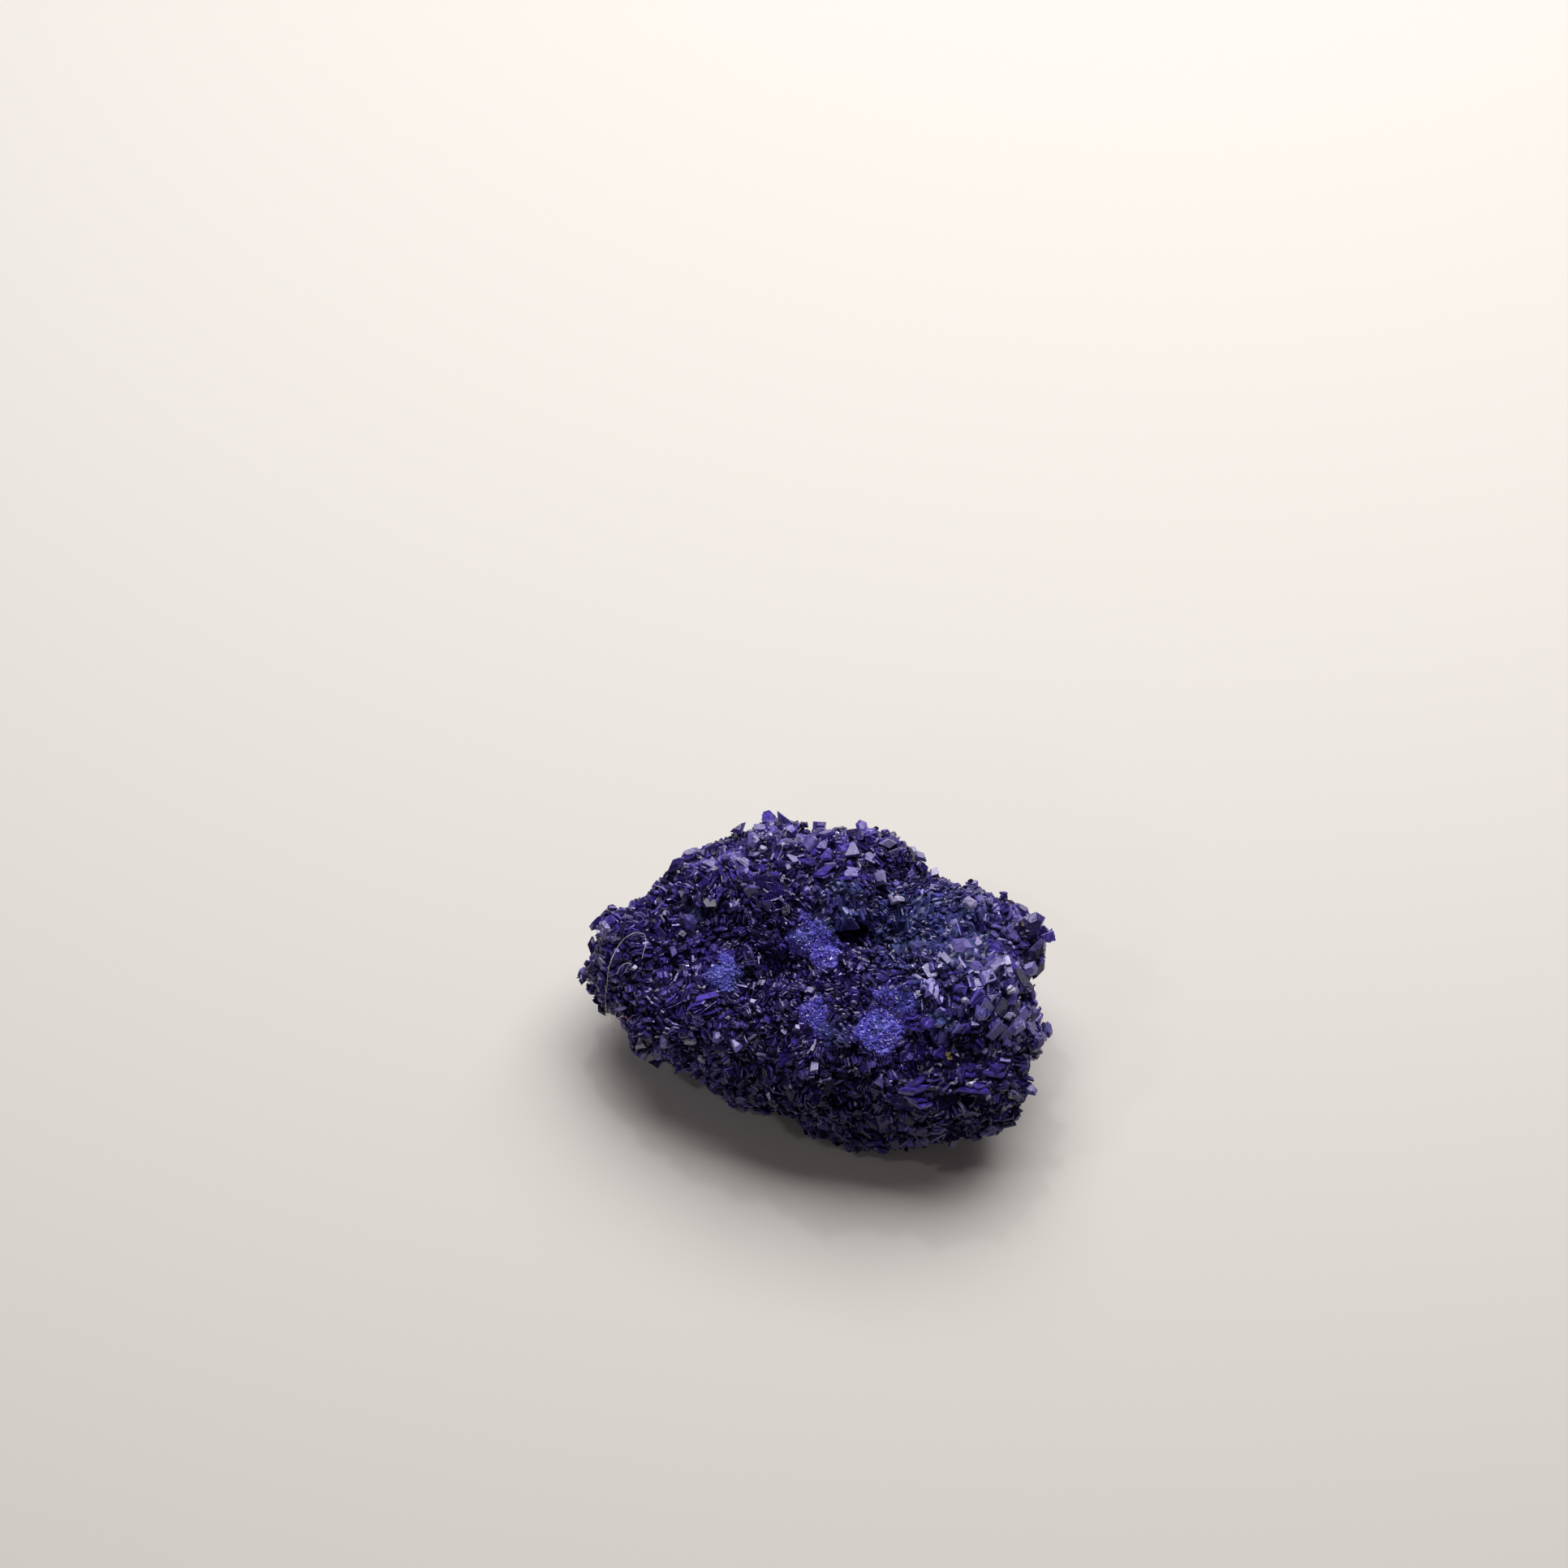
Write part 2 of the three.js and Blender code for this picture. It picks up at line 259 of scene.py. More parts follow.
def spotStrength(points, kind):
    # How strongly each point belongs to the spots of a kind: full inside, gone a third past the edge.
    strength = np.zeros(len(points))
    waver = np.array([noise.noise_vector(point) for point in points / (spotEdge["size"] * mm)])
    points = points + waver * spotEdge["waver"] * mm
    for pixel, (radius, most) in spots[kind].items():
        reach = np.linalg.norm(points - spotPlaces[pixel], axis=1) / (radius * mm)
        part = np.clip((spotEdge["end"] - reach) / spotEdge["fade"], 0, 1) * most
        strength = np.maximum(strength, part)
    return strength


def letIn():
    # Presses the sunken spots into the mass.
    sink = spotStrength(massPoints, "sink")
    sunken = np.flatnonzero(sink > 0)
    massPoints[sunken] -= outwardAt(massPoints[sunken]) * sink[sunken, None] * mm
    massMesh.vertices.foreach_set("co", massPoints.ravel())
    massMesh.update()
    print("sunken", len(sunken), "places of the mass")


letIn()
massTree = BVHTree.FromPolygons(massPoints.tolist(), massCorners.tolist())


# Sites: places all over the mass, kept apart from each other.
def randomOnMass(count):
    a, b, c = (massPoints[massCorners[:, k]] for k in range(3))
    areas = np.linalg.norm(np.cross(b - a, c - a), axis=1)
    chosen = dice.choice(len(areas), count, p=areas / areas.sum())
    first = np.sqrt(dice.random(count))[:, None]
    second = dice.random(count)[:, None]
    return a[chosen] * (1 - first) + b[chosen] * first * (1 - second) + c[chosen] * first * second


def keptApart(points, spacing):
    # Spacing is one distance for each point, in metres.
    cell = spacing.max()
    kept = {}
    chosen = []
    keys = np.floor(points / cell).astype(int)
    steps = [(i, j, k) for i in (-1, 0, 1) for j in (-1, 0, 1) for k in (-1, 0, 1)]
    for index, (key, point, gap) in enumerate(zip(keys.tolist(), points.tolist(), spacing.tolist())):
        near = (p for step in steps for p in kept.get(tuple(map(sum, zip(key, step))), ()))
        if all(math.dist(p, point) > gap for p in near):
            kept.setdefault(tuple(key), []).append(point)
            chosen.append(index)
    return np.array(chosen)


# Crystal shapes: tablets with flat faces in a box from -1 to 1, broad faces up and down in Z.
# Each outline is a row of straight edges: the way an edge faces (degrees) and how far out it is.
tabletOutlines = {
    "blade": ((90, 0.5), (270, 0.5), (28, 0.85), (152, 0.8), (208, 0.85), (332, 0.8)),
    "rhomb": ((52, 0.7), (128, 0.75), (232, 0.7), (308, 0.75), (0, 0.95)),
    "arrow": ((90, 0.5), (215, 0.5), (325, 0.5), (150, 0.85), (20, 0.9)),
    "hexagon": ((0, 0.85), (60, 0.85), (120, 0.8), (180, 0.9), (240, 0.75), (300, 0.85)),
    "shard": ((80, 0.6), (170, 0.8), (250, 0.55), (350, 0.9)),
}
tabletForm = {
    "turnJitter": 8,       # degrees
    "reachJitter": 0.12,
    "variants": 3,
    "plateCap": (0.88, 0.95),  # broad face against the belt round the edge
    "blockCap": (0.35, 0.75),
    "slant": 0.06,
    "wedge": 0.3,              # how much thinner one side can be
}
grainForm = {"variants": 8, "unevenness": 0.2}
grainCone = {"segments": 4, "radius1": 1, "radius2": 0.6, "depth": 1.4}


def squared(shape):
    # Fits the shape's outline to the box.
    low = [min(vert.co[axis] for vert in shape.verts) for axis in (0, 1)]
    high = [max(vert.co[axis] for vert in shape.verts) for axis in (0, 1)]
    middle = Vector(((low[0] + high[0]) / 2, (low[1] + high[1]) / 2, 0))
    bmesh.ops.translate(shape, verts=shape.verts, vec=-middle)
    bmesh.ops.scale(shape, verts=shape.verts, vec=(2 / (high[0] - low[0]), 2 / (high[1] - low[1]), 1))


def tablet(outline, cap, belted=True):
    shape = bmesh.new()
    bmesh.ops.create_grid(shape, x_segments=1, y_segments=1, size=2)
    for turn, reach in outline:
        angle = math.radians(turn + dice.normal(0, tabletForm["turnJitter"]))
        facing = Vector((math.cos(angle), math.sin(angle), 0))
        edgeAt = facing * reach * (1 + dice.normal(0, tabletForm["reachJitter"]))
        everything = shape.verts[:] + shape.edges[:] + shape.faces[:]
        bmesh.ops.bisect_plane(shape, geom=everything, plane_co=edgeAt, plane_no=facing, clear_outer=True)
    squared(shape)
    slant = Vector((*dice.normal(0, tabletForm["slant"], 2), 0))
    low, high = dice.uniform(*cap, 2)
    face = next(iter(shape.faces))
    belt = list(shape.verts)
    bmesh.ops.translate(shape, verts=belt, vec=(0, 0, -1))
    levels = [(0, 1), (1, high)] if belted else [(1, high)]
    below = low
    bmesh.ops.scale(shape, verts=belt, vec=(low, low, 1))
    bmesh.ops.translate(shape, verts=belt, vec=-slant)
    for level, (height, width) in enumerate(levels):
        grown = bmesh.ops.extrude_face_region(shape, geom=[face])
        if level:
            bmesh.ops.delete(shape, geom=[face], context="FACES_ONLY")
        ring = [item for item in grown["geom"] if isinstance(item, bmesh.types.BMVert)]
        face = next(item for item in grown["geom"] if isinstance(item, bmesh.types.BMFace))
        bmesh.ops.translate(shape, verts=ring, vec=(0, 0, height - ring[0].co.z))
        bmesh.ops.scale(shape, verts=ring, vec=(width / below, width / below, 1))
        bmesh.ops.translate(shape, verts=ring, vec=slant)
        below = width
    wedge = dice.uniform(-tabletForm["wedge"], tabletForm["wedge"])
    for vert in shape.verts:
        vert.co.z *= 1 + wedge * vert.co.y
    bmesh.ops.recalc_face_normals(shape, faces=shape.faces)
    return shapeNumbers(shape)


def grainShape():
    shape = bmesh.new()
    bmesh.ops.create_cone(shape, cap_ends=True, **grainCone)
    for vert in shape.verts:
        vert.co += Vector(dice.normal(0, grainForm["unevenness"], 3))
    bmesh.ops.triangulate(shape, faces=shape.faces)
    bmesh.ops.recalc_face_normals(shape, faces=shape.faces)
    return shapeNumbers(shape)


def shapeNumbers(shape):
    shape.verts.ensure_lookup_table()
    shape.verts.index_update()
    numbers = {
        "points": np.array([vert.co[:] for vert in shape.verts]),
        "corners": np.array([vert.index for face in shape.faces for vert in face.verts]),
        "sides": np.array([len(face.verts) for face in shape.faces]),
    }
    # rimlight: the belt round the edge, painted lighter as a highlight of edges catching and passing light
    numbers["rimlight"] = (np.abs(numbers["points"][:, 2]) < 0.5).astype(float)
    shape.free()
    return numbers


def tablets(cap, belted=True):
    outlines = [outline for outline in tabletOutlines.values() for _ in range(tabletForm["variants"])]
    return [tablet(outline, cap, belted) for outline in outlines]


shapeSets = {
    "plate": tablets(tabletForm["plateCap"]),
    "block": tablets(tabletForm["blockCap"]),
    "flake": tablets(tabletForm["plateCap"], belted=False),
    "grain": [grainShape() for _ in range(grainForm["variants"])],
}
print("crystal shapes", {name: len(shapes) for name, shapes in shapeSets.items()})
shadeNames = ("tone", "cyan", "pale", "broken", "gloss")


def joinedCopies(name, placed):
    # One mesh of all the copies. Placed holds each copy's form, shape number, middle, axes and shades.
    points, corners, sides = [], [], []
    shades = {shade: [] for shade in (*shadeNames, "rimlight", "stripe")}
    start = 0
    for form, shapes in shapeSets.items():
        for number, shape in enumerate(shapes):
            mine = np.flatnonzero((placed["form"] == form) & (placed["number"] % len(shapes) == number))
            local, axes = shape["points"], placed["axes"][mine]
            turned = np.einsum("nij,vj->nvi", axes, local)
            points.append((turned + placed["middle"][mine][:, None]).reshape(-1, 3))
            steps = start + np.arange(len(mine))[:, None] * len(local)
            corners.append((shape["corners"][None] + steps).ravel())
            sides.append(np.tile(shape["sides"], len(mine)))
            breadth = np.linalg.norm(axes[:, :, 1], axis=1)[:, None]
            shades["rimlight"].append(np.tile(shape["rimlight"], len(mine)))
            shades["stripe"].append((local[:, 1][None] * breadth + dice.random((len(mine), 1))).ravel())
            for shade in shadeNames:
                shades[shade].append(np.repeat(placed[shade][mine], len(local)))
            start += len(mine) * len(local)
    points, corners, sides = np.concatenate(points), np.concatenate(corners), np.concatenate(sides)
    points[:, 2] = np.maximum(points[:, 2], 0)
    mesh = bpy.data.meshes.new(name)
    mesh.vertices.add(len(points))
    mesh.vertices.foreach_set("co", points.ravel())
    mesh.loops.add(len(corners))
    mesh.loops.foreach_set("vertex_index", corners)
    mesh.polygons.add(len(sides))
    mesh.polygons.foreach_set("loop_start", np.concatenate(([0], np.cumsum(sides)[:-1])))
    mesh.update(calc_edges=True)
    mesh.shade_flat()
    addShades(mesh, {shade: np.concatenate(values) for shade, values in shades.items()})
    mesh.calc_loop_triangles()
    print(name, len(placed["form"]), "crystals,", len(mesh.loop_triangles), "triangles")
    return asPiece(name, mesh)


def addShades(mesh, shades):
    for shade, values in shades.items():
        mesh.attributes.new(shade, "FLOAT", "POINT").data.foreach_set("value", values)


def asPiece(name, mesh):
    piece = bpy.data.objects.new(name, mesh)
    bpy.context.scene.collection.objects.link(piece)
    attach(piece, "root")
    return piece


# Zones: where the crystals grow larger or finer, how steeply they stand and how mixed that is (degrees),
# how bright they are, and what share of them has a pale painted sheen or is blocky.
# The low brightness of the front and low right zones is painted shade; the right's high one is partly
# painted sheen.
zoneColumns = ("at", "scale", "lean", "leanMix", "tone", "paleSheen", "blocky")
crystalZones = {
    "dome": ((0, 9, 16), 1.3, 42, 22, 0.56, 0.25, 0.38),
    "behind": ((0, 14, 5), 1.1, 46, 20, 0.5, 0.15, 0.15),
    "left": ((-15, 1, 11), 0.95, 58, 20, 0.46, 0.12, 0.12),
    "middle": ((-2, -3, 16), 0.75, 66, 16, 0.4, 0.1, 0.05),
    "valley": ((7, 1, 15), 0.8, 62, 18, 0.42, 0.1, 0.05),
    "right": ((15, -2, 14), 1.3, 42, 22, 0.62, 0.5, 0.45),
    "front": ((-4, -10, 6), 1.12, 46, 22, 0.15, 0.05, 0.42),
    "lowRight": ((13, -12, 6), 1.2, 50, 22, 0.21, 0.08, 0.3),
}
zoneNames = list(crystalZones)
zoneBlur = 1.6  # mm, how far the zones run into each other

# Sizes of crystal: the large ones first, then smaller ones between them. Lengths are in mm.
crystalSizes = {
    "large": {
        "form": "plate", "spacing": 1.35, "length": (1.3, 2.1), "thickness": (0.2, 0.42),
        "plates": (1, 4), "proud": (0.0, 0.34),
    },
    "medium": {
        "form": "plate", "spacing": 0.98, "length": (1.0, 1.75), "thickness": (0.15, 0.32),
        "plates": (1, 4), "proud": (-0.05, 0.22),
    },
    "small": {
        "form": "flake", "spacing": 0.74, "length": (0.55, 1.0), "thickness": (0.08, 0.17),
        "plates": (1, 3), "proud": (-0.2, 0.12),
    },
}
growth = {
    "candidates": 90000,
    "rosetteCandidates": 6000,
    "rosetteSpacing": 3.2,         # mm
    "rosetteTone": 0.08,
    "petals": 0.5,                 # share of rosettes whose crystals face away from their middle
    "grain": (0.7, 1.3, 0.8),      # how much the others' grain runs along X, Y and Z
    "grainTurn": 0.35,             # radians off the rosette's grain
    "leanRange": (6, 92),          # degrees
    "bookWobble": 0.16,            # between books of plates
    "plateWobble": 0.05,           # within a book
    "lengthMix": (0.75, 1.1),      # within a book
    "breadth": (0.5, 0.95),        # of the length
    "blockLength": 0.78,           # of a plate's length
    "blockThickness": (0.3, 0.6),  # of the breadth
    "turns": (0.5, 0.15),          # radians, by book and by plate
    "tones": (0.2, 0.14),          # by book and by plate
    "plateGap": (1.05, 1.5),       # of the thickness
    "plateLift": 0.06,             # mm
    "levelled": 0.75,              # how much of a plate's rise within its book is taken back
    "held": 0.75,                  # of a crystal's half size, at most this is off the mass
    "rootDepth": 0.6,              # mm below the mass that the smaller ones reach down to
    # pale shade of the crystals that get the painted sheen
    "paleSheen": (0.1, 0.45),
    # painted glints: a few crystals are made paler still
    "glintSpecks": 0.015,               # share of crystals that are paler still
    "glintSpeckPale": 0.6,
    "cyanPower": 1.5,              # the higher, the fewer crystals have much of it
    "glossPower": 2,
    # painted shade: how much the tone drops in the dark spots
    "paintedShadeDarkening": 0.5,              # in the dark spots
    "lowestSite": 0.35,            # mm above the resting plane
    "brokenGap": 0.55,             # crystals stay out of spots more broken than this
    "brokenStray": 6,              # a power: the higher, the fewer of them stray in
    "clearing": 0.32,              # they stay off the standouts, out to this share of a standout's length
    "clearingMore": 0.35,          # and this share of their own spacing more
}


def zoneValues(zones, column):
    column = zoneColumns.index(column)
    return np.array([row[column] for row in crystalZones.values()], dtype=float)[zones]


def zonesAt(points):
    centres = np.array([at for at, *others in crystalZones.values()]) * mm
    blurred = points + dice.normal(0, zoneBlur * mm, points.shape)
    return np.argmin(np.linalg.norm(blurred[:, None] - centres[None], axis=2), axis=1)


def standoutFeet():
    # Where each standout crystal or book stands on the mass, and how far round it the others keep off.
    feet = [(pixel, size[0]) for pixel, size, *others in standouts.values()]
    feet += [(pixel, max(size[0], plates * gap)) for pixel, plates, size, gap, *others in books.values()]
    for pixel, breadth in feet:
        yield np.array(massTree.find_nearest(atPixel(pixel))[0]), breadth * growth["clearing"] * mm


def growSites(spacing):
    points = randomOnMass(growth["candidates"])
    points = points[points[:, 2] > growth["lowestSite"] * mm]
    stray = dice.random(len(points)) ** growth["brokenStray"]
    points = points[spotStrength(points, "broken") < growth["brokenGap"] + stray]
    for place, clear in standoutFeet():
        away = np.linalg.norm(points - place, axis=1)
        points = points[away > clear + spacing * growth["clearingMore"] * mm]
    zones = zonesAt(points)
    kept = keptApart(points, zoneValues(zones, "scale") * spacing * mm)
    return points[kept], zones[kept]


def makeRosettes():
    middles = randomOnMass(growth["rosetteCandidates"])
    middles = middles[keptApart(middles, np.full(len(middles), growth["rosetteSpacing"] * mm))]
    return {
        "middle": middles,
        "grain": unit(dice.normal(0, 1, middles.shape) * np.array(growth["grain"])),
        "petals": dice.random(len(middles)) < growth["petals"],
        "tone": dice.normal(0, growth["rosetteTone"], len(middles)),
        "tree": kdTreeOf(middles),
    }


def turnedAbout(vectors, axes, angles):
    cos, sin = np.cos(angles)[:, None], np.sin(angles)[:, None]
    along = axes * np.sum(axes * vectors, axis=1, keepdims=True)
    return vectors * cos + np.cross(axes, vectors) * sin + along * (1 - cos)


def across(vectors, axes):
    # The part of each vector that lies across its axis, as a unit vector.
    return unit(vectors - axes * np.sum(vectors * axes, axis=1, keepdims=True))


def reachOf(axes, outward):
    return np.abs(np.einsum("nij,ni->nj", axes, outward)).sum(axis=1)


def growCrystals(size, rosettes):
    sites, siteZones = growSites(size["spacing"])
    outward = outwardAt(sites)
    nearest = np.array([rosettes["tree"].find(point)[1] for point in sites])
    away = across(sites - rosettes["middle"][nearest], outward)
    grain = across(rosettes["grain"][nearest], outward)
    level = np.where(rosettes["petals"][nearest][:, None], away, grain)
    level = turnedAbout(level, outward, dice.normal(0, growth["grainTurn"], len(sites)))
    lean = dice.normal(zoneValues(siteZones, "lean"), zoneValues(siteZones, "leanMix"))
    lean = np.radians(np.clip(lean, *growth["leanRange"]))[:, None]
    through = outward * np.cos(lean) + level * np.sin(lean)
    through = unit(through + dice.normal(0, growth["bookWobble"], through.shape))

    # Each site carries a book of one or more plates.
    low, high = size["plates"]
    counts = dice.integers(low, high + 1, len(sites))
    stack = np.repeat(np.arange(len(sites)), counts)
    rank = np.concatenate([np.arange(count) - (count - 1) / 2 for count in counts])
    zones = siteZones[stack]
    outward, total = outward[stack], len(stack)

    def mixed(spreads):
        book, plate = spreads
        return dice.normal(0, book, len(sites))[stack] + dice.normal(0, plate, total)

    scale = zoneValues(zones, "scale")
    length = dice.uniform(*size["length"], len(sites))[stack]
    length = length * dice.uniform(*growth["lengthMix"], total) * scale
    blocky = (dice.random(len(sites)) < zoneValues(siteZones, "blocky"))[stack]
    length = np.where(blocky, length * growth["blockLength"], length)
    breadth = length * dice.uniform(*growth["breadth"], total)
    thickness = dice.uniform(*size["thickness"], total) * scale
    thickness = np.where(blocky, breadth * dice.uniform(*growth["blockThickness"], total), thickness)

    through = unit(through[stack] + dice.normal(0, growth["plateWobble"], (total, 3)))
    long = turnedAbout(across(outward, through), through, mixed(growth["turns"]))
    axes = np.stack([long, np.cross(through, long), through], axis=2)
    axes *= np.stack([length, breadth, thickness], axis=1)[:, None] * mm / 2
    proud = dice.uniform(*size["proud"], len(sites))[stack] + dice.normal(0, growth["plateLift"], total)
    step = through * (thickness * dice.uniform(*growth["plateGap"], total) * rank * mm)[:, None]
    rise = np.sum(step * outward, axis=1)
    reach = reachOf(axes, outward)
    lift = np.minimum(proud * mm * scale - reach, reach * growth["held"] - growth["rootDepth"] * mm)
    lift -= rise * growth["levelled"]
    middle = sites[stack] + outward * lift[:, None] + step
    tone = zoneValues(zones, "tone") + rosettes["tone"][nearest][stack]
    tone += mixed(growth["tones"])
    # Painted sheen: some crystals get a pale lavender sheen painted into their colour.
    sheened = dice.random(len(sites))[stack] < zoneValues(zones, "paleSheen")
    # painted glints: a few paler crystals
    glintSpecks = dice.random(total) < growth["glintSpecks"]
    pale = np.where(sheened, dice.uniform(*growth["paleSheen"], total), 0)
    pale += np.where(glintSpecks, growth["glintSpeckPale"], 0)
    return {
        "form": np.where(blocky, "block", size["form"]),
        "number": dice.integers(0, 1000, total),
        "middle": middle, "axes": axes, "zone": zones,
        # painted shade: the tone is darker in the dark spots
        "tone": np.clip(tone - growth["paintedShadeDarkening"] * spotStrength(middle, "dark"), 0, 1),
        "cyan": spotStrength(middle, "cyan") * dice.random(total) ** growth["cyanPower"],
        "pale": np.clip(pale, 0, 1), "broken": np.zeros(total),
        "gloss": dice.random(total) ** growth["glossPower"],
    }


def plantCrystals():
    rosettes = makeRosettes()
    sizes = [growCrystals(size, rosettes) for size in crystalSizes.values()]
    crystals = {key: np.concatenate([grown[key] for grown in sizes]) for key in sizes[0]}
    pieceZones = {
        "dome_crystals": ("dome",),
        "back_crystals": ("behind",),
        "left_crystals": ("left",),
        "middle_crystals": ("middle", "valley"),
        "right_crystals": ("right",),
        "front_crystals": ("front", "lowRight"),
    }
    pieces = []
    for name, names in pieceZones.items():
        mine = np.isin(crystals["zone"], [zoneNames.index(zone) for zone in names])
        pieces.append(joinedCopies(name, {key: values[mine] for key, values in crystals.items()}))
    return pieces


# Broken spots: fine bright grains where the crystals are rubbed off.
grainField = {
    "candidates": 120000,
    "spacing": 0.13,         # mm
    "size": (0.06, 0.17),    # mm
    "proud": (-0.08, 0.04),  # mm
    "edge": 0.4,             # the strength of a spot that they begin at
    "edgeMix": 0.3,
    "tone": (0.62, 0.3),     # the middle and how mixed
    "broken": (0.45, 1),
    "white": 0.06,           # share of paler ones
    "pale": (0.3, 0.8),
    "cyan": (0.4, 1),
}


def plantGrains():
    points = randomOnMass(grainField["candidates"])
    strength = spotStrength(points, "broken")
    points = points[strength > grainField["edge"] + dice.random(len(points)) * grainField["edgeMix"]]
    points = points[keptApart(points, np.full(len(points), grainField["spacing"] * mm))]
    count = len(points)
    size = dice.uniform(*grainField["size"], count) * mm
    axes = np.linalg.qr(dice.normal(0, 1, (count, 3, 3)))[0]
    axes *= np.sign(np.linalg.det(axes))[:, None, None] * size[:, None, None]
    outward = outwardAt(points)
    white = dice.random(count) < grainField["white"]
    return joinedCopies("broken_grains", {
        "form": np.full(count, "grain"),
        "number": dice.integers(0, 1000, count),
        "middle": points + outward * (dice.uniform(*grainField["proud"], count) * mm)[:, None],
        "axes": axes,
        "tone": np.clip(dice.normal(*grainField["tone"], count), 0, 1),
        "cyan": spotStrength(points, "cyan") * dice.uniform(*grainField["cyan"], count),
        "pale": np.where(white, dice.uniform(*grainField["pale"], count), 0),
        "broken": dice.uniform(*grainField["broken"], count),
        "gloss": dice.random(count),
    })


# Bed: the dark body that the crystals stand on, a little inside the mass's surface. Sizes are in mm.
bedShape = {
    "sink": 0.55,
    "roughness": 0.12,
    "brokenSink": 0.1,
    "brokenFill": 1.5,  # times a spot's strength, so that the bed is fully broken sooner
    "foot": 0.1,        # the height up to which it is the broken face that it rests on
    "underside": 0.35,  # roughness of that face
    "raised": 1.4,      # it comes up under the standouts, out to twice this share of their clearing
}
# The bed's dark tone, below the crystals', partly paints shade into the gaps between them.
bedShades = {"tone": 0.12, "footTone": 0.4, "cyan": 0.3, "footBroken": 0.35}


def makeBed():
    normals = smoothNormals(massMesh)
    foot = massPoints[:, 2] < bedShape["foot"] * mm
    broken = np.clip(spotStrength(massPoints, "broken") * bedShape["brokenFill"], 0, 1)
    raised = broken.copy()
    for place, clear in standoutFeet():
        away = np.linalg.norm(massPoints - place, axis=1) / (clear * bedShape["raised"])
        raised = np.maximum(raised, np.clip(2 - away, 0, 1))
    sink = bedShape["sink"] * (1 - raised) + bedShape["brokenSink"] * raised
    sink += dice.normal(0, bedShape["roughness"], len(massPoints))
    moved = massPoints - normals * (sink * mm)[:, None] * ~foot[:, None]
    chips = np.maximum(dice.normal(0, bedShape["underside"], len(massPoints)), 0)
    moved[:, 2] = np.maximum(moved[:, 2], 0) + foot * chips * mm
    massMesh.vertices.foreach_set("co", moved.ravel())
    massMesh.update()
    massMesh.shade_flat()
    addShades(massMesh, {
        "tone": np.where(foot, bedShades["footTone"], bedShades["tone"]),
        "cyan": spotStrength(massPoints, "cyan") * bedShades["cyan"],
        "broken": np.maximum(broken, foot * bedShades["footBroken"]),
    })
    bed = asPiece("crystal_bed", massMesh)
    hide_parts("azurite_cluster")
    print("crystal_bed", len(massCorners), "triangles")
    return bed


# Floor, lights and background.
stageLook = {
    "floor": (0.74, 0.71, 0.68),
    "floorSize": 1.5,  # m from the middle to a side
    "aimHeight": 8,    # mm, the height that the lamps point at
    "world": (0.060, 0.050, 0.048),
    "lights": {
        "overhead": {
            "at": (0.05, 0.21, 0.33), "size": (0.44, 0.32), "watts": 2.1, "colour": (1, 0.99, 0.97),
        },
        "glint": {"at": (-0.04, 0.24, 0.36), "size": (0.02, 0.02), "watts": 0.12, "colour": (1, 1, 1)},
        "front": {"at": (-0.18, -0.22, 0.20), "size": (0.03, 0.03), "watts": 0.03, "colour": (1, 1, 1)},
        "corner": {"at": (-0.22, -0.02, 0.26), "size": (0.02, 0.02), "watts": 0.05, "colour": (1, 1, 1)},
    },
}


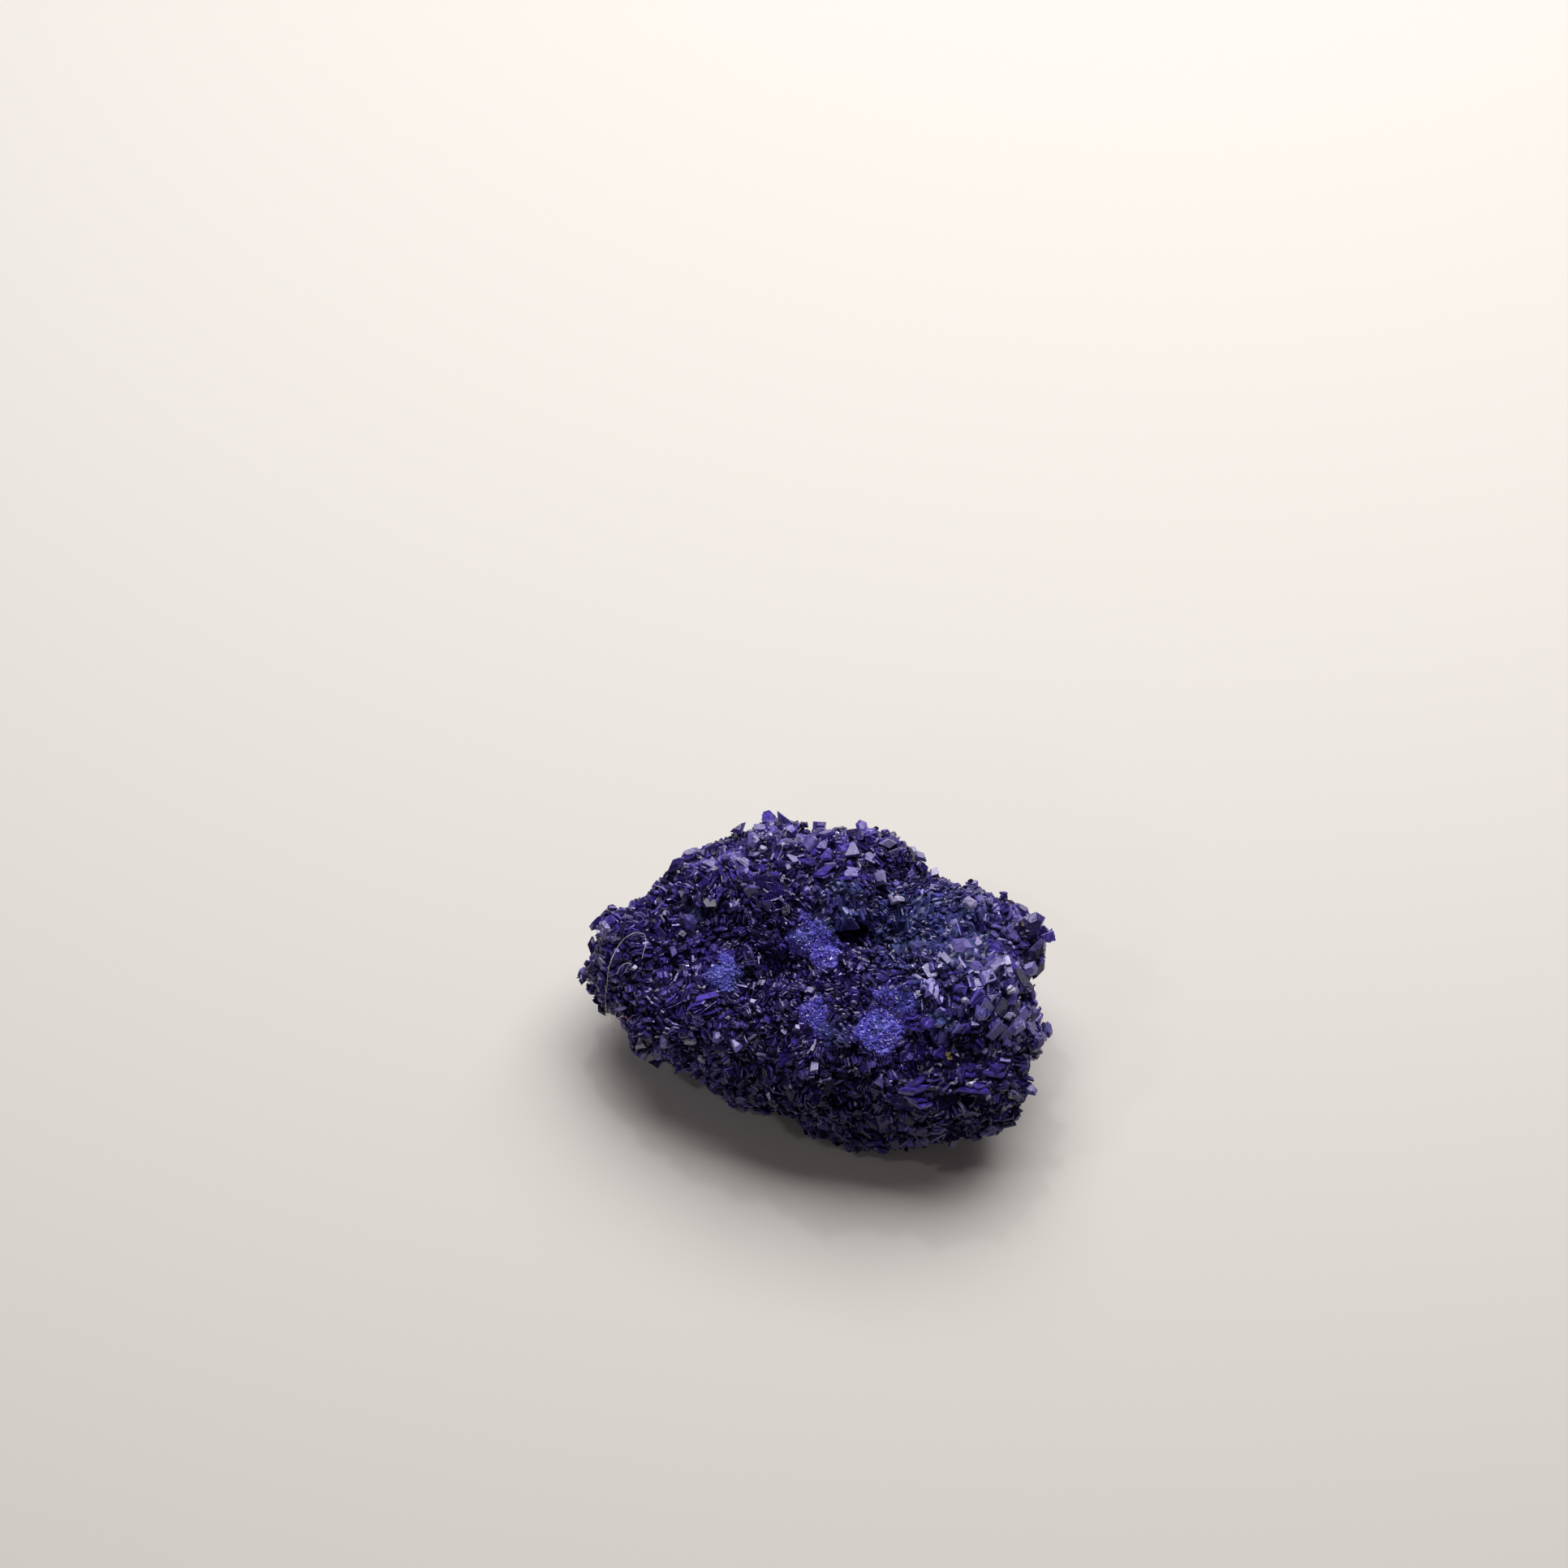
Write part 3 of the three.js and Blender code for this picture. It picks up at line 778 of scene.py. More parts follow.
# Crystals that stand out in the photo: the pixel, long, wide and thick (mm), the long way in the picture,
# the way that the broad face looks in the picture and how far it is turned from the eye (all degrees),
# and its shades.
flash = "flash"  # a face that mirrors a lamp at the eye
# Their pale shade is partly their own colour and partly painted sheen; on the flash faces it is also a
# painted highlight.
standouts = {
    "greyTablet": ((875, 1114), (1.4, 0.8, 0.3), -5, flash, {"pale": 0.95}),
    "greyStub": ((850, 1283), (1.25, 0.85, 0.5), 8, flash, {"pale": 0.9}),
    "greyWedge": ((884, 1277), (1.5, 1.2, 0.6), 60, (80, 25), {"pale": 0.4}),
    "greyKite": ((905, 1287), (1.5, 1.2, 0.5), -50, flash, {"pale": 0.45}),
    "violetFace": ((818, 1283), (1.3, 1.1, 0.5), 70, flash, {"pale": 0.35}),
    "endTriangle": ((790, 1288), (1.3, 1.1, 0.4), 60, flash, {"pale": 1.0}),
    "footTriangle": ((793, 1306), (0.8, 0.6, 0.4), 50, flash, {"pale": 0.5}),
    "footBlue": ((838, 1317), (1.6, 1.2, 0.6), 70, (60, 30), {"pale": 0.1}),
    "leftBlock": ((849, 1138), (1.8, 1.6, 0.7), 80, (200, 30), {"pale": 0.12}),
    "leftBar": ((765, 1243), (1.1, 0.5, 0.4), 15, flash, {"pale": 0.55}),
    "leftSpeck": ((781, 1193), (0.6, 0.5, 0.42), 15, flash, {"pale": 0.8}),
    "leftKite": ((829, 1172), (1.0, 0.8, 0.4), -60, (60, 20), {"pale": 0.45}),
    "leftGlass": ((746, 1147), (2.2, 1.5, 0.6), -65, (190, 45), {"pale": 0.3}),
    "midPale": ((928, 1235), (0.7, 0.6, 0.4), 0, flash, {"pale": 0.7}),
    "domeCluster": ((930, 1036), (1.7, 1.4, 0.8), 80, (60, 30), {"pale": 0.45}),
    "domeClusterLow": ((938, 1047), (1.2, 0.9, 0.6), 30, (250, 25), {"pale": 0.65}),
    "domeTopBlock": ((968, 1014), (2.2, 2.1, 1.2), 85, (0, 30), {"pale": 0.15}),
    "domeTopBlue": ((976, 1027), (1.6, 1.2, 0.6), 80, (330, 40), {"tone": 0.85}),
    "domeKnob": ((1010, 1017), (1.5, 1.2, 0.8), 20, (90, 30), {"tone": 0.7}),
    "domePoint": ((1061, 1020), (1.6, 1.3, 0.8), 75, (60, 25), {"tone": 0.8}),
    "domeFace": ((1050, 1050), (2.0, 1.5, 0.4), 60, (80, 40), {"pale": 0.1}),
    "domeFaceLeft": ((1013, 1042), (1.6, 1.2, 0.4), 30, (110, 42), {"pale": 0.1}),
    "domeFaceRight": ((1072, 1058), (1.4, 1.1, 0.4), -40, (60, 42), {"pale": 0.1}),
    "domeBlade": ((978, 1059), (1.7, 0.7, 0.3), -35, (60, 30), {"pale": 0.4}),
    "domeBeige": ((1024, 1065), (0.9, 0.5, 0.3), 10, (270, 20), {"pale": 0.6}),
    "domeRidge": ((1094, 1039), (1.7, 0.9, 0.4), 5, (270, 10), {"pale": 0.6}),
    "domeEdge": ((1126, 1047), (1.2, 1.0, 0.5), -30, (60, 30), {"pale": 0.7}),
    "roundBlue": ((1084, 1083), (1.9, 1.7, 1.0), 60, (120, 20), {"pale": 0.6}),
    "paleTriangle": ((1103, 1109), (1.7, 1.2, 0.5), -30, (130, 20), {"pale": 0.7}),
    "backPlate": ((1151, 1075), (1.2, 1.0, 0.4), 60, (90, 25), {"pale": 0.8}),
    "greenGrey": ((1195, 1114), (1.5, 1.3, 0.8), -40, (90, 20), {"pale": 0.65}),
    "bigFace": ((1182, 1171), (2.7, 2.2, 0.9), 65, (110, 18), {"pale": 0.5}),
    "bigFaceBeside": ((1204, 1162), (2.0, 1.5, 0.8), 70, (60, 30), {"pale": 0.5}),
    "lavender": ((1225, 1193), (2.4, 2.1, 1.2), 80, (70, 25), {"pale": 0.42}),
    "lavenderLow": ((1221, 1230), (1.4, 0.9, 0.7), 0, (90, 25), {"pale": 0.55}),
    "rightPale": ((1245, 1220), (1.0, 0.9, 0.6), 40, flash, {"pale": 0.9}),
    "rightRing": ((1243, 1252), (1.1, 0.9, 0.6), 20, (90, 10), {"pale": 0.7}),
    "rightBlue": ((1253, 1263), (2.1, 1.7, 0.9), 60, (50, 25), {"pale": 0.4}),
    "smallPale": ((1189, 1232), (0.8, 0.6, 0.5), 15, flash, {"pale": 0.7}),
    "tealBlock": ((1158, 1262), (1.1, 0.8, 0.5), 15, (90, 20), {"cyan": 0.8}),
    "cornerShard": ((1272, 1141), (2.9, 2.5, 1.0), 84, (330, 32), {"tone": 0.35}),
    "sideShard": ((1277, 1172), (2.6, 2.2, 0.9), 82, (335, 42), {"tone": 0.12}),
    "sideShardLow": ((1277, 1194), (2.2, 1.8, 0.8), 66, (320, 40), {"tone": 0.15}),
    "lowShard": ((1279, 1284), (2.2, 1.6, 0.9), 60, (330, 40), {"tone": 0.5}),
    "lowShardTop": ((1270, 1252), (1.9, 1.2, 0.8), 70, (340, 40), {"tone": 0.3}),
    "tipShard": ((1266, 1340), (2.0, 1.3, 0.7), -35, (60, 40), {"cyan": 0.35}),
    "domeShoulder": ((1135, 1050), (1.8, 1.2, 0.6), -50, (60, 35), {"pale": 0.2}),
    "domeShoulderLow": ((1137, 1068), (1.4, 1.0, 0.6), -60, (40, 40), {"tone": 0.4}),
    "bumpLeft": ((833, 1066), (2.2, 1.4, 0.9), 50, (120, 45), {"tone": 0.35}),
    "bumpTop": ((852, 1052), (2.2, 1.3, 0.8), 20, (100, 45), {"tone": 0.5}),
    "bumpRight": ((882, 1044), (2.0, 1.2, 0.8), 10, (90, 45), {"tone": 0.45}),
    "crestLeft": ((911, 1022), (1.8, 1.2, 0.8), 30, (110, 40), {"tone": 0.5}),
    "crestMiddle": ((936, 1021), (1.6, 1.1, 0.6), 15, (90, 30), {"tone": 0.6}),
    "endTop": ((738, 1137), (2.0, 1.3, 0.8), 40, (130, 40), {"tone": 0.4}),
    "footLeft": ((808, 1317), (1.7, 1.2, 0.8), 20, (250, 30), {"tone": 0.2}),
    "footMiddle": ((1175, 1410), (1.6, 1.1, 0.8), 70, (270, 40), {"tone": 0.15}),
    "cornerTop": ((1259, 1121), (1.8, 1.1, 0.8), -30, (60, 40), {"tone": 0.5}),
    "endSide": ((730, 1165), (1.8, 1.2, 0.7), 80, (180, 40), {"tone": 0.25}),
    "frontPale": ((1084, 1334), (1.3, 1.2, 0.9), 30, flash, {"pale": 0.5}),
    "frontStub": ((1197, 1336), (1.1, 0.7, 0.6), 15, flash, {"pale": 0.8}),
    "frontSpeck": ((1217, 1352), (0.7, 0.6, 0.5), 70, flash, {"pale": 0.7}),
}
standoutLook = {"tone": 0.6, "cyan": 0, "pale": 0, "broken": 0, "gloss": 0.4, "proud": 0.35, "nearer": 0.3}
blockFrom = 0.45  # mm, thicker ones are blocks
rooting = {
    "share": 0.55,  # a crystal's middle is at most this share of its half size off the mass
    "depth": 0.12,  # mm that its inner part reaches deeper still
}

# Books of thin plates that show edge on: the pixel, how many plates, long, wide and thick, the gap between
# them (mm), the way that their edges run in the picture (degrees), and their shades.
ledge = {"proud": 0.7, "nearer": 0.5}  # mm, the ledges at the lower right stand out more
books = {
    "leftBook": ((866, 1239), 6, (2.6, 1.2, 0.14), 0.27, 22, {"tone": 0.85}),
    "leftBookLow": ((829, 1233), 4, (1.6, 1.0, 0.12), 0.25, 30, {"tone": 0.8}),
    "domePair": ((907, 1082), 3, (1.9, 1.1, 0.25), 0.5, -52, {"tone": 0.7}),
    "domeFan": ((872, 1094), 4, (1.6, 1.1, 0.2), 0.36, 70, {"tone": 0.75}),
    "domeArc": ((1018, 1074), 3, (2.6, 1.2, 0.16), 0.4, 6, {"tone": 0.7}),
    "domeArcRight": ((1046, 1078), 3, (2.2, 1.2, 0.16), 0.4, -12, {"tone": 0.7}),
    "hollowRoofLeft": ((1021, 1127), 5, (2.0, 1.3, 0.4), 0.36, 70, {"cyan": 0.2}),
    "hollowRoof": ((1041, 1134), 5, (2.2, 1.5, 0.45), 0.4, 88, {"cyan": 0.4}),
    "hollowRoofRight": ((1061, 1127), 5, (2.0, 1.3, 0.4), 0.36, 112, {"cyan": 0.3}),
    "hollowRoofTop": ((1038, 1111), 8, (1.5, 1.3, 0.35), 0.42, 84, {"cyan": 0.2}),
    "shoulderBook": ((1112, 1130), 6, (1.8, 1.2, 0.2), 0.3, 80, {"cyan": 0.4}),
    "shoulderBookRight": ((1138, 1118), 6, (1.8, 1.2, 0.2), 0.3, 60, {"cyan": 0.4}),
    "lowBook": ((1128, 1258), 6, (1.8, 1.2, 0.16), 0.32, 10, {"tone": 0.6}),
    "ledge": ((1192, 1318), 2, (3.0, 1.6, 0.5), 0.55, -8, {"tone": 0.6, **ledge}),
    "ledgeRight": ((1226, 1320), 2, (2.8, 1.5, 0.5), 0.55, -18, {"tone": 0.65, **ledge}),
    "ledgeLeft": ((1133, 1338), 2, (3.2, 1.6, 0.55), 0.6, 8, {"tone": 0.75, **ledge}),
    "ledgeLeftLow": ((1128, 1357), 2, (2.4, 1.4, 0.4), 0.5, -6, {"tone": 0.5, **ledge}),
    "ledgeLow": ((1200, 1340), 2, (3.0, 1.6, 0.45), 0.5, -6, {"tone": 0.6, **ledge}),
    "ledgeEnd": ((1262, 1333), 3, (2.4, 1.6, 0.3), 0.45, -20, {"tone": 0.4}),
}
bookLook = {**standoutLook, "form": "plate", "tone": 0.5, "proud": 0.38, "nearer": 0.15}
bookMix = {
    "edgeOn": 66,     # degrees that the plates are turned from the eye
    "edgeOnMix": 11,
    "lines": 10,      # degrees
    "slide": 0.3,     # mm
    "size": ((0.6, 1.1), (0.7, 1.1), (0.6, 1.2)),
    "tone": 0.15,
    "proud": (0.6, 1.2),
    "cyan": (0.3, 1.5),
}

# Small faces that mirror the glint light at the eye: pixel and length (mm).
glints = {
    (800, 1280): 0.8, (788, 1285): 0.7, (782, 1235): 0.7, (820, 1144): 0.35, (832, 1194): 0.3,
    (847, 1191): 0.35, (824, 1109): 0.4, (950, 1029): 0.55, (936, 1349): 0.5, (948, 1350): 0.7,
    (1242, 1184): 1.1, (1235, 1188): 0.6, (1158, 1191): 0.7, (983, 1266): 0.7, (1079, 1116): 0.6,
    (1064, 1297): 0.5, (905, 1112): 0.35, (738, 1149): 0.6, (1024, 1182): 0.4, (995, 1252): 0.3,
    (1169, 1147): 0.5, (1245, 1217): 0.6, (969, 1138): 0.3, (1032, 1027): 0.4, (1250, 1252): 0.35,
}
glintForm = {"breadth": (0.5, 0.9), "thickness": 0.25, "lift": 0.2}  # mm thick, else shares of the length
# Their pale shade is a painted highlight that keeps them light where the mirroring misses the eye.
glintLook = {**standoutLook, "form": "flake", "tone": 0.5, "pale": 0.6, "gloss": 1, "proud": 0, "nearer": 0}


def pictureWay(angle):
    return math.cos(math.radians(angle)) * cameraRight + math.sin(math.radians(angle)) * cameraUp


def faceWay(direction, turned):
    # The way a face looks whose tilt from the eye is given in the picture.
    away = math.radians(turned)
    return (math.cos(away) * towardCamera + math.sin(away) * pictureWay(direction)).normalized()


def mirrorWay(place, lamps):
    # The way of a face that mirrors a lamp at the eye: the first that the mass doesn't hide, or the last.
    for name in lamps:
        toLamp = (Vector(stageLook["lights"][name]["at"]) - place).normalized()
        if massTree.ray_cast(place + toLamp * mm, toLamp)[0] is None:
            break
    return ((eye - place).normalized() + toLamp).normalized()


def standing(place, facing, longWay, size, look):
    # One crystal on the sight line to a place of the mass, its top a little proud of the others.
    through = np.array(facing)
    long = across(np.array([longWay]), through[None])[0]
    axes = np.stack([long, np.cross(through, long), through], axis=1)
    axes = axes * np.array(size) * mm / 2
    outward = outwardAt([place])[0]
    lift = look["proud"] * mm - reachOf(axes[None], outward[None])[0]
    sightLine = (place - eye).normalized()
    depth = (place - eye).length + lift * sightLine.dot(outward)
    number = dice.integers(0, 1000)
    middle = rooted(np.array(eye + sightLine * (depth - look["nearer"] * mm)), axes)
    return {**look, "number": number, "middle": middle, "axes": axes}


def rooted(middle, axes):
    # Moves a crystal that would hang beside the mass toward it, until its inner part is held.
    foot, normal, face, distance = massTree.find_nearest(middle)
    if (Vector(middle) - foot).dot(normal) <= 0:
        return middle
    way = (np.array(foot) - middle) / distance
    held = reachOf(axes[None], way[None])[0] * rooting["share"] - rooting["depth"] * mm
    return middle + way * max(distance - held, 0)


def growStandouts():
    grown = []
    for pixel, size, turn, faces, shades in standouts.values():
        form = "block" if size[2] > blockFrom else "plate"
        place = atPixel(pixel)
        facing = mirrorWay(place, ("overhead", "front")) if faces == flash else faceWay(*faces)
        look = {**standoutLook, **shades, "form": form}
        grown.append(standing(place, facing, pictureWay(turn), size, look))
    return joinedCopies("standout_crystals", gathered(grown))


def growBooks():
    grown = []
    for (x, y), plates, size, gap, lines, shades in books.values():
        look = {**bookLook, **shades}
        for rank in range(plates):
            offset = (rank - (plates - 1) / 2) * (gap * pixelsPerMm)
            slide = dice.normal(0, bookMix["slide"]) * pixelsPerMm
            way = offset * pictureWay(lines + 90) + slide * pictureWay(lines)
            place = onMass((x + way.dot(cameraRight), y - way.dot(cameraUp)))
            turned = lines + dice.normal(0, bookMix["lines"])
            facing = faceWay(turned + 90, bookMix["edgeOn"] + dice.normal(0, bookMix["edgeOnMix"]))
            own = [side * dice.uniform(*mix) for side, mix in zip(size, bookMix["size"])]
            shade = {
                "tone": look["tone"] + dice.normal(0, bookMix["tone"]),
                "proud": look["proud"] * dice.uniform(*bookMix["proud"]),
                "cyan": look["cyan"] * dice.uniform(*bookMix["cyan"]),
            }
            grown.append(standing(place, facing, pictureWay(turned), own, {**look, **shade}))
    return joinedCopies("book_crystals", gathered(grown))


def growGlints(carriers):
    grown = []
    for pixel, length in glints.items():
        place = shownAt(carriers, pixel, sight["inwardFine"])
        toEye = (eye - place).normalized()
        mirror = mirrorWay(place, ("glint", "front"))
        size = (length, length * dice.uniform(*glintForm["breadth"]), glintForm["thickness"])
        glint = standing(place, mirror, pictureWay(dice.uniform(0, 180)), size, glintLook)
        grown.append({**glint, "middle": np.array(place + toEye * length * glintForm["lift"] * mm)})
    return joinedCopies("glint_crystals", gathered(grown))


def carriersOf(pieces):
    graph = bpy.context.evaluated_depsgraph_get()
    return [BVHTree.FromObject(piece, graph) for piece in pieces]


def gathered(grown):
    return {key: np.array([crystal[key] for crystal in grown]) for key in grown[0]}


# Crumbs: pale specks in small groups, by the pixel of each group and how wide it is (mm).
# Their paleness is partly pale grains and partly painted glints of tiny bright reflections.
crumbs = {
    (905, 1112): 0.5, (1169, 1147): 0.6, (745, 1146): 1.1, (739, 1153): 0.8, (899, 1166): 0.5,
    (1032, 1028): 0.6, (1137, 1150): 0.4, (935, 1030): 0.5, (1060, 1180): 0.9, (985, 1215): 0.9,
    (1075, 1122): 0.4,
}
crumbField = {"count": 12, "size": (0.07, 0.16), "pale": (0.4, 0.9)}
crumbProud = 0.3  # how far a crumb is toward the eye, as a share of its size
crumbLook = {"form": "grain", "tone": 0.5, "cyan": 0, "pale": 0, "broken": 0, "gloss": 0.5}


def crumbAt(carriers, pixel, size, shades):
    # A grain on the crystals.
    axes = np.linalg.qr(dice.normal(0, 1, (3, 3)))[0]
    axes *= np.sign(np.linalg.det(axes)) * size * mm
    place = shownAt(carriers, pixel, sight["inwardFine"])
    middle = np.array(place + (eye - place).normalized() * crumbProud * size * mm)
    return {**crumbLook, **shades, "number": dice.integers(0, 1000), "middle": middle, "axes": axes}


def scatterCrumbs(carriers):
    grown = []
    for (x, y), wide in crumbs.items():
        for _ in range(crumbField["count"]):
            away = dice.normal(0, wide * pixelsPerMm / 2, 2)
            shades = {"pale": dice.uniform(*crumbField["pale"])}
            size = dice.uniform(*crumbField["size"])
            grown.append(crumbAt(carriers, (x + away[0], y + away[1]), size, shades))
    return joinedCopies("pale_crumbs", gathered(grown))


# Ochre grains, and a few reddish ones: pixel, size (mm) and how red.
ochreGrains = {
    (1168, 1301): (0.3, 0.0), (1170, 1304): (0.22, 0.1), (1166, 1298): (0.18, 0.0),
    (1257, 1134): (0.16, 0.0), (1260, 1139): (0.16, 0.0), (1255, 1130): (0.12, 0.1),
    (771, 1253): (0.15, 1.0), (773, 1255): (0.1, 0.9), (1105, 1100): (0.09, 0.6),
    (1107, 1103): (0.09, 0.5), (1109, 1106): (0.08, 0.6),
}


def scatterOchre(carriers):
    grown = [crumbAt(carriers, pixel, size, {"tone": red}) for pixel, (size, red) in ochreGrains.items()]
    return joinedCopies("ochre_grains", gathered(grown))


# Pale lint on the left end: a long fibre with a short branch, and a stray one, by the pixels they pass.
lint = {
    "strands": {
        "main": (
            (794, 1151), (786, 1149), (778, 1151), (768, 1158), (758, 1173), (751, 1190), (748, 1213),
            (746, 1233), (747, 1246), (752, 1258), (758, 1272), (757, 1262), (761, 1255), (768, 1252),
        ),
        "branch": ((794, 1151), (796, 1160), (793, 1173), (791, 1181)),
        "stray": ((760, 1200), (764, 1192), (772, 1187), (778, 1188)),
    },
    "thickness": 0.055,  # mm
    "above": 0.62,       # mm nearer the eye than the mass, on the tips of the crystals
}


def layLint():
    curve = bpy.data.curves.new("lint_fibre", "CURVE")
    curve.dimensions = "3D"
    curve.bevel_depth = lint["thickness"] * mm / 2
    curve.bevel_resolution = 2
    curve.resolution_u = 8
    curve.use_fill_caps = True
    for strand in lint["strands"].values():
        spline = curve.splines.new("BEZIER")
        spline.bezier_points.add(len(strand) - 1)
        for point, pixel in zip(spline.bezier_points, strand):
            depth = (onMass(pixel) - eye).length
            point.co = eye + pixelRay(pixel) * (depth - lint["above"] * mm)
            point.handle_left_type = point.handle_right_type = "AUTO"
    thing = bpy.data.objects.new("lint_curve", curve)
    bpy.context.scene.collection.objects.link(thing)
    graph = bpy.context.evaluated_depsgraph_get()
    mesh = bpy.data.meshes.new_from_object(thing.evaluated_get(graph))
    bpy.data.objects.remove(thing)
    print("lint_fibre", len(mesh.polygons), "faces")
    return asPiece("lint_fibre", mesh)


# Colours, as the light gives them back (linear).
azuriteColours = {
    "deep": (0.0035, 0.0018, 0.020),
    "plain": (0.021, 0.011, 0.124),
    "bright": (0.090, 0.058, 0.45),
    "broken": (0.130, 0.114, 0.63),
    "teal": (0.105, 0.155, 0.41),
    # painted sheen where the pale shade is; on the pale grains it is part of their own colour
    "paleSheen": (0.175, 0.15, 0.42),
    "pale": (0.46, 0.44, 0.52),
    # painted highlight on the crystals' edges
    "rimlight": (0.17, 0.14, 0.50),
}


def addNode(tree, kind, **values):
    node = tree.nodes.new(kind)
    for key, value in values.items():
        if key in node.inputs:
            node.inputs[key].default_value = value
        else:
            setattr(node, key, value)
    return node


def mixColours(tree, share, first, second):
    # First and second are a colour or an output.
    mix = tree.nodes.new("ShaderNodeMix")
    mix.data_type = "RGBA"
    for socket, source in ((mix.inputs[0], share), (mix.inputs[6], first), (mix.inputs[7], second)):
        if isinstance(source, bpy.types.NodeSocket):
            tree.links.new(source, socket)
        elif isinstance(source, tuple):
            socket.default_value = (*source, 1)
        else:
            socket.default_value = source
    return mix.outputs[2]


def maths(tree, operation, *terms, clamp=False):
    node = tree.nodes.new("ShaderNodeMath")
    node.operation = operation
    node.use_clamp = clamp
    for socket, term in zip(node.inputs, terms):
        if isinstance(term, bpy.types.NodeSocket):
            tree.links.new(term, socket)
        else:
            socket.default_value = term
    return node.outputs[0]


def newMaterial(name, values):
    # Makes a material with these values in its shader's own sockets. Its tree and shader come with it.
    material = bpy.data.materials.new(name)
    material.use_nodes = True
    shader = material.node_tree.nodes["Principled BSDF"]
    for socket, value in values.items():
        shader.inputs[socket].default_value = value
    return material, material.node_tree, shader


def noiseOver(tree, **values):
    # Noise that is fixed to the piece.
    texture = addNode(tree, "ShaderNodeTexNoise", **values)
    tree.links.new(tree.nodes.new("ShaderNodeTexCoord").outputs["Object"], texture.inputs["Vector"])
    return texture


azuriteTexture = {
    "cloud": {"noise_dimensions": "4D", "Scale": 2200.0, "Detail": 5.0},
    "lines": {"noise_dimensions": "1D", "Scale": 9000.0, "Detail": 2.0},  # growth lines along a crystal
    "fine": {"Scale": 3000.0, "Detail": 4.0},
    "cloudShare": 1.8, "lineShare": 0.4, "lower": 1.1,
    # what the cloud, or the pale shade itself, is multiplied by and what is added
    "sheenPatches": (2.0, 0.3), "tealPatches": (3.0, -0.6), "palest": (2.0, -1.0),
    "roughness": 0.06, "fineShare": 0.35, "brokenShare": 0.12, "glossShare": -0.2, "smoothest": 0.08,
    "ridges": 0.12, "relief": 0.7, "reliefDepth": 0.06,  # the depth is in mm
}


def azuriteShade():
    # The colour, roughness and fine relief that every crystal and the bed share.
    group = bpy.data.node_groups.new("azuriteShade", "ShaderNodeTree")
    for name in ("Tone", "Broken", "Cyan", "Pale", "Rimlight", "Gloss", "Stripe"):
        group.interface.new_socket(name, in_out="INPUT", socket_type="NodeSocketFloat")
    for name, kind in {"Color": "Color", "Roughness": "Float", "Height": "Float"}.items():
        group.interface.new_socket(name, in_out="OUTPUT", socket_type="NodeSocket" + kind)
    given = group.nodes.new("NodeGroupInput").outputs
    out = group.nodes.new("NodeGroupOutput").inputs
    look = azuriteTexture
    cloud = noiseOver(group, **look["cloud"])
    lines = addNode(group, "ShaderNodeTexNoise", **look["lines"])
    fine = noiseOver(group, **look["fine"])
    for texture in (cloud, lines):
        group.links.new(given["Stripe"], texture.inputs["W"])
    cloud, lines, fine = (texture.outputs["Fac"] for texture in (cloud, lines, fine))

    ramp = group.nodes.new("ShaderNodeValToRGB")
    ramp.color_ramp.elements.new(0.5)
    for step, name in zip(ramp.color_ramp.elements, ("deep", "plain", "bright")):
        step.color = (*azuriteColours[name], 1)
    clouded = maths(group, "MULTIPLY_ADD", cloud, look["cloudShare"], given["Tone"])
    striped = maths(group, "MULTIPLY_ADD", lines, look["lineShare"], clouded)
    group.links.new(maths(group, "SUBTRACT", striped, look["lower"]), ramp.inputs["Fac"])
    # patches of painted sheen on the pale crystals
    sheenPatches = maths(group, "MULTIPLY_ADD", cloud, *look["sheenPatches"])
    tealPatches = maths(group, "MULTIPLY_ADD", cloud, *look["tealPatches"], clamp=True)
    colour = ramp.outputs["Color"]
    # Mixed over the ramp: broken spots, the painted edge highlight, painted sheen, teal and pale.
    for name, share in {
        "broken": given["Broken"],
        "rimlight": given["Rimlight"],
        "paleSheen": maths(group, "MULTIPLY", given["Pale"], sheenPatches, clamp=True),
        "teal": maths(group, "MULTIPLY", given["Cyan"], tealPatches),
        "pale": maths(group, "MULTIPLY_ADD", given["Pale"], *look["palest"], clamp=True),
    }.items():
        colour = mixColours(group, share, colour, azuriteColours[name])
    group.links.new(colour, out["Color"])

    dull = maths(group, "MULTIPLY_ADD", fine, look["fineShare"], look["roughness"])
    duller = maths(group, "MULTIPLY_ADD", given["Broken"], look["brokenShare"], dull)
    shine = maths(group, "MULTIPLY_ADD", given["Gloss"], look["glossShare"], duller)
    group.links.new(maths(group, "MAXIMUM", shine, look["smoothest"]), out["Roughness"])
    ridged = maths(group, "MULTIPLY", lines, look["ridges"])
    group.links.new(maths(group, "ADD", fine, ridged), out["Height"])
    return group


def azuriteMaterial(name, shade, rimlight=0.35, specular=0.42):
    material, tree, shader = newMaterial(name, {
        "IOR": 1.76, "Specular IOR Level": specular, "Specular Tint": (0.86, 0.80, 1, 1),
    })
    group = tree.nodes.new("ShaderNodeGroup")
    group.node_tree = shade
    for attribute in (*shadeNames, "rimlight", "stripe"):
        source = addNode(tree, "ShaderNodeAttribute", attribute_name=attribute).outputs["Fac"]
        # the painted edge highlight, at the given strength
        if attribute == "rimlight":
            source = maths(tree, "MULTIPLY", source, rimlight)
        tree.links.new(source, group.inputs[attribute.capitalize()])
    tree.links.new(group.outputs["Color"], shader.inputs["Base Color"])
    tree.links.new(group.outputs["Roughness"], shader.inputs["Roughness"])
    depth = azuriteTexture["reliefDepth"] * mm
    bump = addNode(tree, "ShaderNodeBump", Strength=azuriteTexture["relief"], Distance=depth)
    tree.links.new(group.outputs["Height"], bump.inputs["Height"])
    tree.links.new(bump.outputs["Normal"], shader.inputs["Normal"])
    return material


